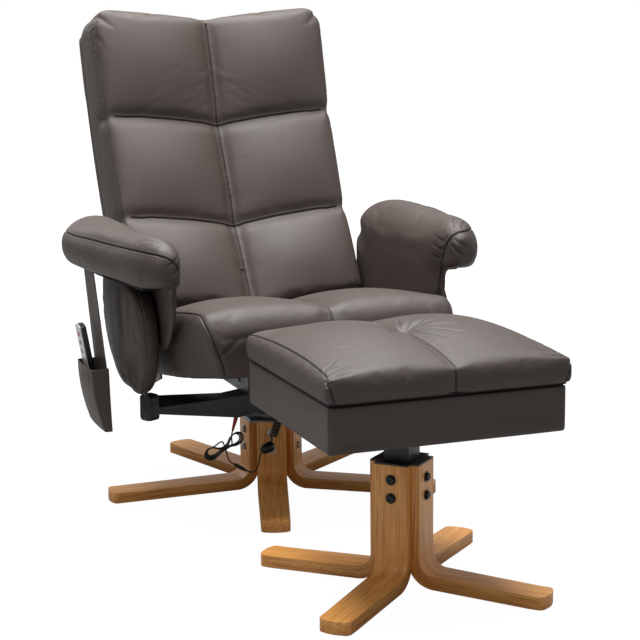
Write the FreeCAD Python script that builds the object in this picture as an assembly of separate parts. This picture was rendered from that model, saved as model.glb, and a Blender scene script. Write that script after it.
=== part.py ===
import FreeCAD, Part
import math
import os

# Reclining massage chair on a five-legged swivel base, with its storage footstool.
# Millimetres and degrees. The origin is on the floor under the chair's swivel axis, +Z is up,
# the chair faces -Y, and the sitter's right hand is towards -X.

# Shared clearances and allowances
seat_gap = 0.3            # between pieces that lie on each other but are not fastened
run_gap = 0.05            # radial clearance of a running fit
bolt_gap = 0.2            # radial clearance round a bolt
overrun = 4.0             # how far a cutting tool runs past what it cuts
sheet = 3.0               # pressed steel
full_turn = 360.0
half_root = math.sqrt(1 / 2)
wall_step = 1.2           # backing cloth

# Chair base: five bent plywood legs round a steel hub
chair_legs = 5
chair_turn = -107.7       # direction of the leg nearest the footstool's right corner
chair_reach = 361.0       # swivel axis to leg tip
chair_post = 60.0         # swivel axis to the outer face of a leg's upright
chair_height = 149.0      # top of the uprights
chair_thick = 22.0
inside_radius = 28.0      # of the legs' bends
chair_bolts = (87.0, 125.0)
leg_width = 63.0
leg_tip_width = 58.0
tip_round = 11.0
tip_bow = 3.0

# Footstool base: four bent plywood legs round a square tube
stool_y = -701.5
stool_x = 3.5
stool_legs = 4
stool_turn = -137.6
stool_reach = 279.0
stool_post = 47.0
stool_height = 228.0
stool_thick = 23.0
stool_rise_share = 0.04   # slope of the footstool's feet
stool_pad = 30.0          # flat end of each foot
stool_bolts = (169.0, 202.0)

# Bolts
bolt_radius = 4.0
bolt_head = 7.0
bolt_head_high = 4.5
bolt_socket = 2.8
washer_radius = 9.5
washer_thick = 1.5

# Hub, bearing and swivel
hub_low = 60.0
hub_wall = 4.0
web_thick = 6.0
plate_thick = 6.0
plate_lip = 3.0           # the top plate stands past the legs by this
bearing_high = 8.0
bearing_inner = 22.0
bearing_outer = 48.0
spindle_radius = 14.0
socket_wall = 6.0
spindle_top = 205.0
swivel_disc = 54.0

# Pressed crossbar that carries both arms
bar_turn = 24.7           # how far each half points forward
bar_mid = 120.0           # along the bar, where its flat middle ends
bar_past_upright = 5.4    # across the chair, from the upright to the bar's end
bar_wall = 3.0
bar_mid_half = 27.0       # half its width at the middle
bar_end_half = 13.0
bar_top_mid = 215.0
bar_top_end = 250.0
bar_ridge_end = 227.0
bar_low_mid = 170.0
bar_low_end = 217.0
cap_length = 34.0
cap_wall = 3.0
cap_low = 199.0
cap_top = 254.0

# Seat, in its own slope: t runs forward, n is square to the sitting face
seat_y = 114.0
seat_z = 372.0
seat_tilt = 9.0
seat_half = 265.0         # the back and the arms follow the seat's width
seat_border = 13.0        # from the seam on top to the widest line of the seat's side
seat_thick = 125.0
seat_crown = 24.0
seat_nose = 505.0
seat_foot = 455.0
seat_top_front = 476.0
seat_board_thick = 18.0
seat_board_half = 236.0
seat_board_length = 440.0
seat_seam_x = seat_half - seat_border

# Back: all its layers are parts of cylinders about one line in front of it
back_y = -1092.0
back_z = 1345.0
back_valley = 1550.0      # radius of the seams' lowest line
back_pad = 100.0          # valley to board
back_board = 12.0
back_rear = 24.0
back_low_extra = 1.0      # each side, wider than the seat
back_top_extra = 13.0
back_half_low = seat_half + back_low_extra
back_half_top = seat_half + back_top_extra
back_seams = (38.9, 31.5, 22.5, 13.7)   # degrees below level: foot, two seams, head
back_skew_share = 0.075   # rise of the seams towards the sides
back_crown_seam = 30.0
back_crown_panel = 50.0
back_side = 32.0
back_round = 14.0
back_board_extra = 2.0    # each side, wider than the seat's board
back_board_half = seat_board_half + back_board_extra
back_seam_share = 0.7     # of the edge's round, from the side to the border seam
back_top_share = 0.3      # of the edge's round, narrowed at the first step of the head
board_low_margin = 0.6    # degrees that the board stops short of the foot
board_high_margin = 1.0   # and of the head
board_room = 0.1          # degrees of the rear panel that close over the board's ends
recline = 28.0

# Recline hinge
pivot_y = 200.0
pivot_z = 268.0
pin_radius = 5.0
pin_head = 8.0
blade_thick = 4.0
blade_inset = 8.0         # the hinge's plates end level with the seat's board
blade_x = seat_board_half - blade_inset
blade_eye = 16.0
hinge_gap = 0.4

# Vibration motors
motor_radius = 31.0
motor_high = 26.0
motor_gap = 0.8
motor_out_share = 0.4     # of the seat's half width
motor_front_share = 0.45  # of the seat's length
back_motor_share = 0.45   # the lower pair's place between the foot and the first seam

# Arms
arm_low = 488.0           # underside of the pads
arm_gap = 10.0            # seat to the arms' inner face
arm_inner = seat_half + arm_gap
arm_board_thick = 10.0
arm_board_low = arm_low - arm_board_thick
arm_skin = 14.0
arm_inner_front = -272.0
skin_slant_y = 68.0       # its lower front corner is cut away slantwise
skin_slant_z = 92.0
skin_bow_share = 0.45     # where the cut's bow passes, of its length and of its height
skin_bow_high_share = 0.36
arm_inner_rear = 196.0
arm_inner_low = 352.0
side_in = 16.0            # from the arms' inner face to the padded leaf over each upright
side_thick = 46.0
side_inner = arm_inner + side_in
side_outer = side_inner + side_thick
side_low = 255.6
upright_in = 20.0
upright_x = side_inner + upright_in
upright_thick = 6.0
bar_end = (upright_x + bar_past_upright) / math.cos(math.radians(bar_turn))

# Footstool box and lid
box_x = 430.0
box_y = 406.0
box_low = 305.0
box_top = 385.0
box_wall = 16.0
box_floor = 10.0
box_corner = 7.0
mount_plate = 200.0
mount_thick = 4.0
lid_gap = 2.0
lid_board_thick = 12.0
lid_out_front = 13.0      # overhang of the lid
lid_out_side = 7.0
lid_out_rear = 1.0
lid_seam = 436.0          # height of the border's top seam
lid_crown = 472.0
lid_valley = 461.0
tuft_radius = 52.0
tuft_deep = 15.0
tuft_bend_share = 0.38    # the pit's wall passes here, of its radius
tuft_rise_share = 0.22    # and of its depth
tuft_rim_share = 0.6
hinge_wire = 3.0
hinge_leaf = 1.4
hinge_span = 120.0

# Handset and its pocket
pocket_wall = 2.6
pocket_swell_share = 0.12   # how far the bag's front bulges
hand_lean = 9.5
hand_width = 44.0
hand_thick = 14.0
hand_length = 150.0
hand_face = 2.4
hand_y = 0.0
hand_out = 109.0          # outwards from the arms' inner face
hand_foot_x = -(arm_inner + hand_out)
hand_foot_z = 234.0
button_radius = 5.0
button_proud = 1.2
button_deep = 3.5
button_travel = 1.0
button_heights = (128.0, 110.0, 92.0)

# Cords
cord_radius = 1.5
tube_sides = 8            # the wound cords have flat-sided sections
curl_radius = 9.0         # outside of the curly cord
curl_wire = 2.2           # radius of its wire
curl_pitch = 5.2
curl_count = 26
hank_loops = 4
hank_step = 3.9           # from each loop to the one beside it
hank_waist = 2.2
hank_reach = 46.0         # from the waist to the end of the longest loop
hank_shrink = 3.0
hank_lobe = 12.5          # radius of the widest loop's end
hank_narrow = 1.4
hank_droop = 10.0         # degrees that each half hangs below the middle

Vec = FreeCAD.Vector
east = Vec(1, 0, 0)
north = Vec(0, 1, 0)
up = Vec(0, 0, 1)
origin = Vec(0, 0, 0)


# Small helpers
def line(a, b):
    return Part.LineSegment(a, b).toShape()


def bow(a, middle, b):
    return Part.Arc(a, middle, b).toShape()


def loft(wires, ruled=False):
    return Part.makeLoft(wires, True, ruled)


def slab(points, reach):
    """A flat-sided piece: the closed outline moved along reach."""
    return Part.Face(Part.makePolygon(points + [points[0]])).extrude(reach)


def block(low, high):
    size = high - low
    return Part.makeBox(size.x, size.y, size.z, low)


def rod(radius, start, direction, length):
    return Part.makeCylinder(radius, length, start, direction)


def fused(pieces):
    whole = pieces[0].multiFuse(pieces[1:])
    return whole.removeSplitter()


def other_side(shape):
    return shape.mirror(origin, east)


def about(shape, centre, direction, degrees):
    turned = shape.copy()
    turned.rotate(centre, direction, degrees)
    return turned


def at_stool(shape):
    moved = shape.copy()
    moved.translate(Vec(stool_x, stool_y, 0))
    return moved


os.makedirs("parts", exist_ok=True)


def save(name, shape):
    if not shape.isValid():
        print("NOT VALID", name)
    shape.exportStep("parts/%s.step" % name)
    print("%-22s solids %2d  volume %9.0f" % (name, len(shape.Solids), shape.Volume))


# Bent plywood legs
def bent_leg(count, reach, post, height, thick, rise_share, pad, bolts):
    """One leg pointing to +X: an upright and a foot bent from one board."""
    inner = post - thick
    start = post + inside_radius
    lift = rise_share * (reach - pad - start)
    knee = lift + thick + inside_radius
    far = reach + overrun
    outer_bend = thick + inside_radius
    slant = half_root

    def side(r, z):
        return Vec(r, -leg_width, z)

    edges = [
        line(side(inner, height), side(inner, knee)),
        bow(side(inner, knee),
            side(start - outer_bend * slant, knee - outer_bend * slant), side(start, lift)),
        line(side(start, lift), side(reach - pad, 0)),
        line(side(reach - pad, 0), side(far, 0)),
        line(side(far, 0), side(far, thick)),
        line(side(far, thick), side(reach - pad, thick)),
        line(side(reach - pad, thick), side(start, lift + thick)),
        bow(side(start, lift + thick),
            side(start - inside_radius * slant, knee - inside_radius * slant), side(post, knee)),
        line(side(post, knee), side(post, height)),
        line(side(post, height), side(inner, height)),
    ]
    if rise_share == 0:
        edges[2:4] = [line(side(start, 0), side(far, 0))]
        edges[4:6] = [line(side(far, thick), side(start, thick))]
    board = Part.Face(Part.Wire(edges)).extrude(Vec(0, 2 * leg_width, 0))

    half = leg_width / 2
    tip_half = leg_tip_width / 2
    mitre = math.tan(math.pi / count)
    meet = (half + seat_gap) / mitre
    shoulder = reach - tip_bow - tip_round
    nose = reach - tip_bow
    corner = tip_round * (1 - slant)

    def plan(sign):
        return [
            Vec(inner, sign * (inner * mitre - seat_gap), 0),
            Vec(meet, sign * half, 0),
            Vec(start, sign * half, 0),
            Vec(shoulder, sign * tip_half, 0),
            Vec(nose - corner, sign * (tip_half - corner), 0),
            Vec(nose, sign * (tip_half - tip_round), 0),
        ]

    a = plan(1)
    b = plan(-1)
    outline = [line(b[0], a[0])]
    for pts in (a, b):
        outline += [line(pts[0], pts[1]), line(pts[1], pts[2]), line(pts[2], pts[3])]
        outline.append(bow(pts[3], pts[4], pts[5]))
    outline.append(bow(a[5], Vec(reach, 0, 0), b[5]))
    shape = Part.Face(Part.Wire(Part.__sortEdges__(outline))).extrude(Vec(0, 0, height + overrun))
    leg = board.common(shape)
    for z in bolts:
        leg = leg.cut(rod(bolt_radius + bolt_gap, Vec(inner - overrun, 0, z), east, thick + 2 * overrun))
    return leg.Solids[0]


def leg_bolt(post, depth, z):
    """A socket-head bolt with its washer, pointing to -X through one upright."""
    washer = rod(washer_radius, Vec(post, 0, z), east, washer_thick)
    head = rod(bolt_head, Vec(post + washer_thick, 0, z), east, bolt_head_high)
    head = head.makeFillet(bolt_head_high / 3, [head.Edges[0]])
    shank = rod(bolt_radius, Vec(post - depth, 0, z), east, depth + washer_thick)
    recess = rod(bolt_socket, Vec(post + washer_thick + bolt_head_high / 2, 0, z), east, overrun)
    return fused([washer, head, shank]).cut(recess)


def spoke_angles(count, turn):
    return [turn + full_turn * k / count for k in range(count)]


def ring_of(shapes, count, turn):
    turned = [about(s, origin, up, a) for a in spoke_angles(count, turn) for s in shapes]
    return Part.makeCompound(turned)


def regular_prism(count, inradius, turn, low, high):
    """A prism whose flat sides lie at the given distance and face the given directions."""
    corner = inradius / math.cos(math.pi / count)
    points = []
    for k in range(count):
        angle = math.radians(turn + full_turn * (k + 1 / 2) / count)
        points.append(Vec(corner * math.cos(angle), corner * math.sin(angle), low))
    return slab(points, Vec(0, 0, high - low))


chair_leg = bent_leg(chair_legs, chair_reach, chair_post, chair_height, chair_thick, 0, 0, chair_bolts)
for number, angle in enumerate(spoke_angles(chair_legs, chair_turn)):
    save("base_leg_%d" % (number + 1), about(chair_leg, origin, up, angle))

hub_inner = chair_post - chair_thick
base_bolts = [leg_bolt(chair_post, chair_thick + hub_wall, z) for z in chair_bolts]
save("base_bolts", ring_of(base_bolts, chair_legs, chair_turn))

hub = regular_prism(chair_legs, hub_inner, chair_turn, hub_low, chair_height)
hollow = regular_prism(chair_legs, hub_inner - hub_wall, chair_turn,
                       hub_low + web_thick, chair_height - web_thick)
hub = hub.cut(hollow)
hub = hub.cut(rod(spindle_radius, Vec(0, 0, hub_low - overrun), up, chair_height))
hub_holes = [rod(bolt_radius + run_gap, Vec(hub_inner - 2 * hub_wall, 0, z), east, 3 * hub_wall)
             for z in chair_bolts]
save("base_hub", hub.cut(ring_of(hub_holes, chair_legs, chair_turn)))

plate_top = chair_height + plate_thick
top_plate = regular_prism(chair_legs, chair_post + plate_lip, chair_turn, chair_height, plate_top)
upper_rim = [e for e in top_plate.Edges if e.BoundBox.ZMin > plate_top - seat_gap]
top_plate = top_plate.makeChamfer(plate_thick / 3, upper_rim)
save("base_top_plate", top_plate.cut(rod(spindle_radius, Vec(0, 0, hub_low), up, chair_height)))

bearing_top = plate_top + bearing_high
bearing = rod(bearing_outer, Vec(0, 0, plate_top), up, bearing_high)
bearing = bearing.cut(rod(bearing_inner, Vec(0, 0, plate_top - overrun), up, bearing_high + 2 * overrun))
groove = Part.makeTorus((bearing_inner + bearing_outer) / 2, bearing_high / 3,
                        Vec(0, 0, bearing_top), up)
save("thrust_bearing", bearing.cut(groove))

spindle = rod(spindle_radius, Vec(0, 0, hub_low), up, spindle_top - hub_low)
save("swivel_spindle", spindle.makeChamfer(spindle_radius / 10, [spindle.Edges[0]]))


# Crossbar: two pressed channels, open below, that meet in a bend over the spindle
def bar_section(along, half, top, ridge, low, inset, drop):
    """Four corners at one place along the bar: rear top, front ridge, front foot, rear foot."""
    front = half - inset
    return Part.makePolygon([
        Vec(along, -front, top - inset), Vec(along, front, ridge - inset),
        Vec(along, front, low - drop), Vec(along, -front, low - drop), Vec(along, -front, top - inset)])


def bar_body(inset, drop, end):
    start = bar_section(-bar_mid / 3, bar_mid_half, bar_top_mid, bar_top_mid, bar_low_mid, inset, drop)
    middle = bar_section(bar_mid, bar_mid_half, bar_top_mid, bar_top_mid, bar_low_mid, inset, drop)
    finish = bar_section(end, bar_end_half, bar_top_end, bar_ridge_end, bar_low_end, inset, drop)
    return loft([start, middle, finish], True)


# The bar's own cross axis points backwards when it is turned, so the front ridge is put forward
def facing(shape):
    return shape.mirror(origin, north)


def bar_left(inset, drop, end):
    body = facing(bar_body(inset, drop, end))
    body = about(body, origin, up, -bar_turn)
    keep = block(Vec(0, -bar_end, 0), Vec(2 * bar_end, bar_end, bar_end))
    return body.common(keep)


bar_outer = bar_left(0, 0, bar_end)
bar_inner = bar_left(bar_wall, overrun, bar_end + overrun)
socket_low = bearing_top + seat_gap
socket_outer = spindle_radius + run_gap + socket_wall
socket = rod(socket_outer, Vec(0, 0, socket_low), up, bar_top_mid - bar_wall - socket_low)
disc = rod(swivel_disc, Vec(0, 0, socket_low), up, bar_low_mid - socket_low)
shell = fused([bar_outer, other_side(bar_outer)])
shell = shell.cut(fused([bar_inner, other_side(bar_inner)]))
crossbar = fused([shell, socket, disc])
crossbar = crossbar.cut(rod(spindle_radius + run_gap, Vec(0, 0, hub_low), up,
                            bar_top_mid - bar_wall - hub_low))

# Arm uprights: flat bars from the crossbar's ends up to the arm boards, inside the padded sides
bar_way = math.radians(bar_turn)
upright_foot_y = -(upright_x + upright_thick / 2) * math.tan(bar_way)
upright_wide = 26.0
upright_lean = 120.0      # how far back its top lies
upright_knee = 300.0      # height where it starts to lean
upright_points = [
    Vec(upright_x, upright_foot_y - upright_wide / 2, bar_low_end + bar_wall),
    Vec(upright_x, upright_foot_y + upright_wide / 2, bar_low_end + bar_wall),
    Vec(upright_x, upright_foot_y + upright_wide / 2, upright_knee - upright_wide / 3),
    Vec(upright_x, upright_foot_y + upright_lean + upright_wide, arm_board_low),
    Vec(upright_x, upright_foot_y + upright_lean - upright_wide, arm_board_low),
    Vec(upright_x, upright_foot_y - upright_wide / 2, upright_knee),
]
upright = slab(upright_points, Vec(upright_thick, 0, 0))
crossbar = crossbar.cut(fused([upright, other_side(upright)]))
save("crossbar", crossbar)
save("arm_upright_left", upright)
save("arm_upright_right", other_side(upright))

# Plastic caps over the crossbar's ends
cap_half = bar_end_half + cap_wall
cap = block(Vec(bar_end - cap_length + cap_wall, -cap_half, cap_low),
            Vec(bar_end + cap_wall, cap_half, cap_top))
cap = cap.makeFillet(cap_wall, [e for e in cap.Edges if e.BoundBox.ZLength > cap_length])
cap = about(cap, origin, up, -bar_turn)
cap = cap.cut(bar_left(-seat_gap / 3, cap_low, bar_end))
cap = cap.cut(upright)
cap = max(cap.Solids, key=lambda s: s.Volume)
save("bar_cap_left", cap)
save("bar_cap_right", other_side(cap))


# Seat
def seat_point(x, t, n):
    tilt = math.radians(seat_tilt)
    return Vec(x, seat_y - t * math.cos(tilt) + n * math.sin(tilt),
               seat_z + t * math.sin(tilt) + n * math.cos(tilt))


def seat_block(x0, x1, t0, t1, n0, n1):
    corners = [seat_point(x0, t, n) for t, n in ((t0, n0), (t1, n0), (t1, n1), (t0, n1))]
    return slab(corners, Vec(x1 - x0, 0, 0))


seat_rear_top = 14.0      # how far the rear edge's top is rounded down
seat_rear = 3.0


def seat_profile(x, crown, inset):
    """Side view of the seat cushion at one place across it."""
    foot_rear = seat_point(x, seat_rear + inset, -seat_thick)
    top_rear = seat_point(x, seat_rear + inset, -seat_rear_top - inset)
    top_front = seat_point(x, seat_top_front - inset, crown / 3 - inset)
    foot_front = seat_point(x, seat_foot - inset, -seat_thick)
    middle = seat_point(x, seat_top_front / 2, crown)
    nose = seat_point(x, seat_nose - inset, -seat_thick / 2)
    return Part.Wire([line(foot_rear, top_rear), bow(top_rear, middle, top_front),
                      bow(top_front, nose, foot_front), line(foot_front, foot_rear)])


def seat_half_cushion():
    valley = seat_profile(0, seat_crown / 6, 0)
    panel = seat_profile(seat_half / 2, seat_crown, 0)
    seam = seat_profile(seat_seam_x, seat_crown / 6, 0)
    side = seat_profile(seat_half, -seat_crown / 2, seat_half - seat_seam_x)
    return [loft([valley, panel, seam]), loft([seam, side], True)]


half_seat = seat_half_cushion()
seat_board_top = seat_board_thick - seat_thick
seat_board = seat_block(-seat_board_half, seat_board_half, 2 * seat_rear, seat_board_length,
                        -seat_thick, seat_board_top)
motor_x = seat_half * motor_out_share
seat_motor_t = seat_top_front * motor_front_share


def seat_motor(x, radius, height):
    tilt = math.radians(seat_tilt)
    normal = Vec(0, math.sin(tilt), math.cos(tilt))
    return rod(radius, seat_point(x, seat_motor_t, seat_board_top), normal, height)


seat_cushion = fused(half_seat + [other_side(s) for s in half_seat])
seat_cushion = seat_cushion.cut(seat_board)
for x in (-motor_x, motor_x):
    seat_cushion = seat_cushion.cut(seat_motor(x, motor_radius + motor_gap, motor_high + motor_gap))
save("seat_cushion", seat_cushion)
save("seat_board", seat_board)
save("seat_motors", Part.makeCompound([seat_motor(x, motor_radius, motor_high)
                                       for x in (-motor_x, motor_x)]))

# Black backing cloth under the seat, with the grommet that the curly cord comes out of
cover_half = seat_board_half + seat_half / 20
grommet_t = 208.0
grommet_x = 20.0
grommet_radius = 11.0
grommet_deep = 8.0
tilt_down = Vec(0, -math.sin(math.radians(seat_tilt)), -math.cos(math.radians(seat_tilt)))
under_cover = seat_block(-cover_half, cover_half, 3 * seat_rear, seat_board_length - seat_rear,
                         -seat_thick - wall_step, -seat_thick)
grommet = rod(grommet_radius, seat_point(grommet_x, grommet_t, -seat_thick), tilt_down, grommet_deep)
save("seat_under_cover", fused([under_cover, grommet]))

# Pressed cradle between the crossbar and the seat board
cradle_half = 75.0
cradle_front = -80.0
cradle_rear = 104.0
cradle_flange = 26.0
cradle_top = -seat_thick - wall_step


def seat_under(y):
    """Height of the backing cloth's underside at a place along the chair."""
    tilt = math.radians(seat_tilt)
    t = (seat_y + cradle_top * math.sin(tilt) - y) / math.cos(tilt)
    return seat_z + t * math.sin(tilt) + cradle_top * math.cos(tilt)


def cheek(y0, y1, x, thick, floor):
    return slab([Vec(x, y0, floor), Vec(x, y1, floor), Vec(x, y1, seat_under(y1)),
                 Vec(x, y0, seat_under(y0))], Vec(thick, 0, 0))


cradle_plate = block(Vec(-cradle_half, cradle_front, bar_top_mid),
                     Vec(cradle_half, cradle_rear, bar_top_mid + sheet))
cradle_cheek = cheek(cradle_front, cradle_rear, cradle_half - sheet, sheet, bar_top_mid)
window_radius = 12.0
window_high = 30.0
window = rod(window_radius, Vec(0, cradle_front / 4, bar_top_mid + window_high), east,
             cradle_half + overrun)
flange = slab([Vec(cradle_half - sheet, cradle_front, seat_under(cradle_front)),
               Vec(cradle_half - sheet, cradle_rear, seat_under(cradle_rear)),
               Vec(cradle_half - sheet, cradle_rear, seat_under(cradle_rear) - sheet),
               Vec(cradle_half - sheet, cradle_front, seat_under(cradle_front) - sheet)],
              Vec(cradle_flange, 0, 0))
cradle_side = fused([cradle_cheek, flange]).cut(window)
save("seat_cradle", fused([cradle_plate, cradle_side, other_side(cradle_side)]))

# Recline hinge: plates and pins under the seat, blades on the back
plate_x = blade_x + blade_thick + hinge_gap
plate_reach = 72.0
plate_foot = 26.0
plate_shoulder = 12.8
hinge_top = -seat_thick - wall_step
plate_side = slab([
    seat_point(plate_x, plate_reach, hinge_top),
    seat_point(plate_x, 0, hinge_top),
    Vec(plate_x, pivot_y - blade_eye / 2, pivot_z + plate_shoulder),
    Vec(plate_x, pivot_y, pivot_z - blade_eye),
    seat_point(plate_x, 0, hinge_top - plate_foot),
    seat_point(plate_x, plate_reach, hinge_top - plate_foot / 2)], Vec(blade_thick, 0, 0))
plate_eye = rod(blade_eye, Vec(plate_x, pivot_y, pivot_z), east, blade_thick)
plate_flange = seat_block(plate_x - plate_foot, plate_x, 3 * seat_rear, plate_reach,
                          hinge_top - sheet, hinge_top)
pin = rod(pin_radius, Vec(blade_x - hinge_gap - sheet, pivot_y, pivot_z), east,
          2 * blade_thick + 2 * hinge_gap + 2 * sheet)
pin_outer = rod(pin_head, Vec(plate_x + blade_thick, pivot_y, pivot_z), east, sheet)
pin_inner = rod(pin_head, Vec(blade_x - hinge_gap - sheet, pivot_y, pivot_z), east, sheet)
hinge_plate = fused([plate_side, plate_eye, plate_flange, pin, pin_outer, pin_inner])
save("seat_hinge_plates", Part.makeCompound([hinge_plate, other_side(hinge_plate)]))


# Back
def back_way(degrees):
    angle = math.radians(degrees)
    return Vec(0, math.cos(angle), -math.sin(angle))


def back_rise(degrees):
    angle = math.radians(degrees)
    return Vec(0, math.sin(angle), math.cos(angle))


back_centre = Vec(0, back_y, back_z)


def back_point(x, radius, degrees, lift=0):
    flat = back_centre + back_way(degrees) * radius
    rise = back_rise(degrees) * (abs(x) * back_skew_share + lift)
    return flat + rise + Vec(x, 0, 0)


def back_half(degrees):
    share = (back_seams[0] - degrees) / (back_seams[0] - back_seams[3])
    return back_half_low + (back_half_top - back_half_low) * share


back_face = back_valley + back_pad


def back_section(degrees, valley, crown, side, inset=0, lift=0):
    """Half of the cushion cut square to its face: board side, centre seam, panel, gusset."""
    half = back_half(degrees) - inset
    seam = half - back_round * back_seam_share
    foot = half - back_round / 3
    tall = back_valley + inset
    rear = back_point(0, back_face, degrees, lift)
    centre = back_point(0, tall - valley, degrees, lift)
    panel = back_point(half / 2, tall - crown, degrees, lift)
    edge = back_point(seam, tall - side, degrees, lift)
    gusset = back_point(half, (tall - side + back_face) / 2, degrees, lift)
    outer = back_point(foot, back_face, degrees, lift)
    return Part.Wire([line(rear, centre), bow(centre, panel, edge), bow(edge, gusset, outer),
                      line(outer, rear)])


seam_sections = [back_section(a, 0, back_crown_seam, back_side) for a in back_seams]
back_panels = []
for k in range(len(back_seams) - 1):
    middle = (back_seams[k] + back_seams[k + 1]) / 2
    panel = back_section(middle, back_round / 2, back_crown_panel, back_side + back_round / 2)
    back_panels.append(loft([seam_sections[k], panel, seam_sections[k + 1]]))
head = back_seams[3]
back_panels.append(loft([
    seam_sections[3],
    back_section(head, 0, back_crown_seam, back_side,
                 back_round * back_top_share, back_round * back_seam_share),
    back_section(head, 0, back_crown_seam, back_side, back_round, back_round)]))


def back_sector(x0, x1, inner, outer, low, high):
    """A piece of a cylinder shell about the back's centre line."""
    def at(radius, degrees):
        return back_centre + back_way(degrees) * radius + Vec(x0, 0, 0)
    middle = (low + high) / 2
    outline = [bow(at(inner, low), at(inner, middle), at(inner, high)),
               line(at(inner, high), at(outer, high)),
               bow(at(outer, high), at(outer, middle), at(outer, low)),
               line(at(outer, low), at(inner, low))]
    return Part.Face(Part.Wire(outline)).extrude(Vec(x1 - x0, 0, 0))


board_front = back_face + seat_gap
board_rear = board_front + back_board
board_low = back_seams[0] - board_low_margin
board_high = back_seams[3] + board_high_margin
motor_angles = (back_seams[0] * back_motor_share + back_seams[1] * (1 - back_motor_share),
                (back_seams[1] + back_seams[2]) / 2)


def back_motor(x, degrees, radius, height, start):
    return rod(radius, back_centre + back_way(degrees) * start + Vec(x, 0, 0), -back_way(degrees), height)


motor_places = [(x, a) for x in (-motor_x, motor_x) for a in motor_angles]
back_cushion = fused(back_panels + [other_side(s) for s in back_panels])
for x, a in motor_places:
    cavity = back_motor(x, a, motor_radius + motor_gap, motor_high + motor_gap + overrun,
                        back_face + overrun)
    back_cushion = back_cushion.cut(cavity)
save("back_cushion", back_cushion)
save("back_board", back_sector(-back_board_half, back_board_half, board_front, board_rear,
                               board_low, board_high))
save("back_motors", Part.makeCompound([back_motor(x, a, motor_radius, motor_high, back_face)
                                       for x, a in motor_places]))

# Blades of the recline hinge, bolted to the rear of the back board
blade_wide = 20.0
blade_shoulder = 11.2
blade_foot_margin = 0.2   # degrees, as the next two
blade_head_margin = 0.5
blade_flange_margin = 1.0
blade_low = back_seams[0] - blade_foot_margin
blade_high = back_seams[1] - blade_head_margin
blade_strip = back_sector(blade_x, blade_x + blade_thick, board_rear, board_rear + blade_wide,
                          blade_low, blade_high)
low_front = back_centre + back_way(blade_low) * board_rear + Vec(blade_x, 0, 0)
low_rear = back_centre + back_way(blade_low) * (board_rear + blade_wide) + Vec(blade_x, 0, 0)
neck_rear = Vec(blade_x, pivot_y + blade_eye, pivot_z)
neck_front = Vec(blade_x, pivot_y - blade_shoulder, pivot_z + blade_shoulder)
blade_neck = slab([low_front, low_rear, neck_rear, neck_front], Vec(blade_thick, 0, 0))
blade_ring = rod(blade_eye, Vec(blade_x, pivot_y, pivot_z), east, blade_thick)
blade_flange = back_sector(blade_x - plate_foot, blade_x, board_rear, board_rear + sheet,
                           blade_low - blade_flange_margin, blade_high)
blade = fused([blade_strip, blade_neck, blade_ring, blade_flange])
blade = blade.cut(rod(pin_radius + run_gap, Vec(blade_x - overrun, pivot_y, pivot_z), east,
                      blade_thick + 2 * overrun))
save("back_hinge_arms", Part.makeCompound([blade, other_side(blade)]))


# Upholstered rear of the back
def rear_section(degrees, swell, inset=0, lift=0):
    half = back_half(degrees) - back_round / 3 - inset
    base = back_face + seat_gap
    side = base + back_board + back_rear / 2 - inset / 2
    crown = base + back_board + back_rear + swell - inset

    def at(x, radius):
        return back_centre + back_way(degrees) * radius + back_rise(degrees) * lift + Vec(x, 0, 0)
    return Part.Wire([line(at(-half, base), at(half, base)), line(at(half, base), at(half, side)),
                      bow(at(half, side), at(0, crown), at(-half, side)),
                      line(at(-half, side), at(-half, base))])


rear_swell = 8.0
rear_panel = loft([rear_section(back_seams[0], 0), rear_section((back_seams[0] + head) / 2, rear_swell),
                   rear_section(head, 0)])
rear_head = loft([rear_section(head, 0), rear_section(head, -seat_gap, back_round, back_round)], True)
rear_panel = fused([rear_panel, rear_head])
rear_panel = rear_panel.cut(back_sector(-back_board_half - seat_gap, back_board_half + seat_gap,
                                        board_front - overrun, board_rear + seat_gap,
                                        board_low + board_room, board_high - board_room))
blade_slot = back_sector(blade_x - plate_foot - seat_gap, blade_x + blade_thick + seat_gap,
                         board_rear - overrun,
                         board_rear + blade_wide + seat_gap, back_seams[0] + blade_flange_margin,
                         blade_high - blade_foot_margin)
save("back_rear_panel", rear_panel.cut(fused([blade_slot, other_side(blade_slot)])))

# Arms: pad, board, inner skin and padded leaf, modelled on the left and mirrored
# Each row: place along the chair, inner face and outer seam (both outwards from the arms' inner
# face), underside, seam and crown (all three upwards from the foot of the arm)
pad_sag = 1.5             # the underside of the pad sags this much between its rows
pad_low = arm_low + pad_sag
pad_rows = (
    (-326.0, 15.0, 43.0, 13.5, 54.0, 66.0),
    (-300.0, 3.0, 63.0, 4.5, 66.0, 88.0),
    (-200.0, 0, 93.0, pad_sag, 70.0, 101.0),
    (-50.0, 0, 122.0, pad_sag, 70.0, 102.0),
    (90.0, 0, 135.0, pad_sag, 69.0, 101.0),
    (165.0, 3.0, 121.0, 4.5, 64.0, 92.0),
    (202.0, 17.0, 91.0, 17.5, 52.0, 72.0),
)
pad_swell = 7.0
pad_foot = 8.0


def pad_section(row):
    y = row[0]
    inner = arm_inner + row[1]
    outer = arm_inner + row[2]
    low, seam, crown = [arm_low + height for height in row[3:]]
    foot_inner = Vec(inner, y, low)
    foot_outer = Vec(outer - pad_foot, y, low)
    side = Vec(outer + pad_swell, y, (low + seam) / 2)
    edge = Vec(outer, y, seam)
    top = Vec((inner + outer) / 2, y, crown)
    shoulder = Vec(inner, y, seam - pad_foot)
    return Part.Wire([line(foot_inner, foot_outer), bow(foot_outer, side, edge), bow(edge, top, shoulder),
                      line(shoulder, foot_inner)])


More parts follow.
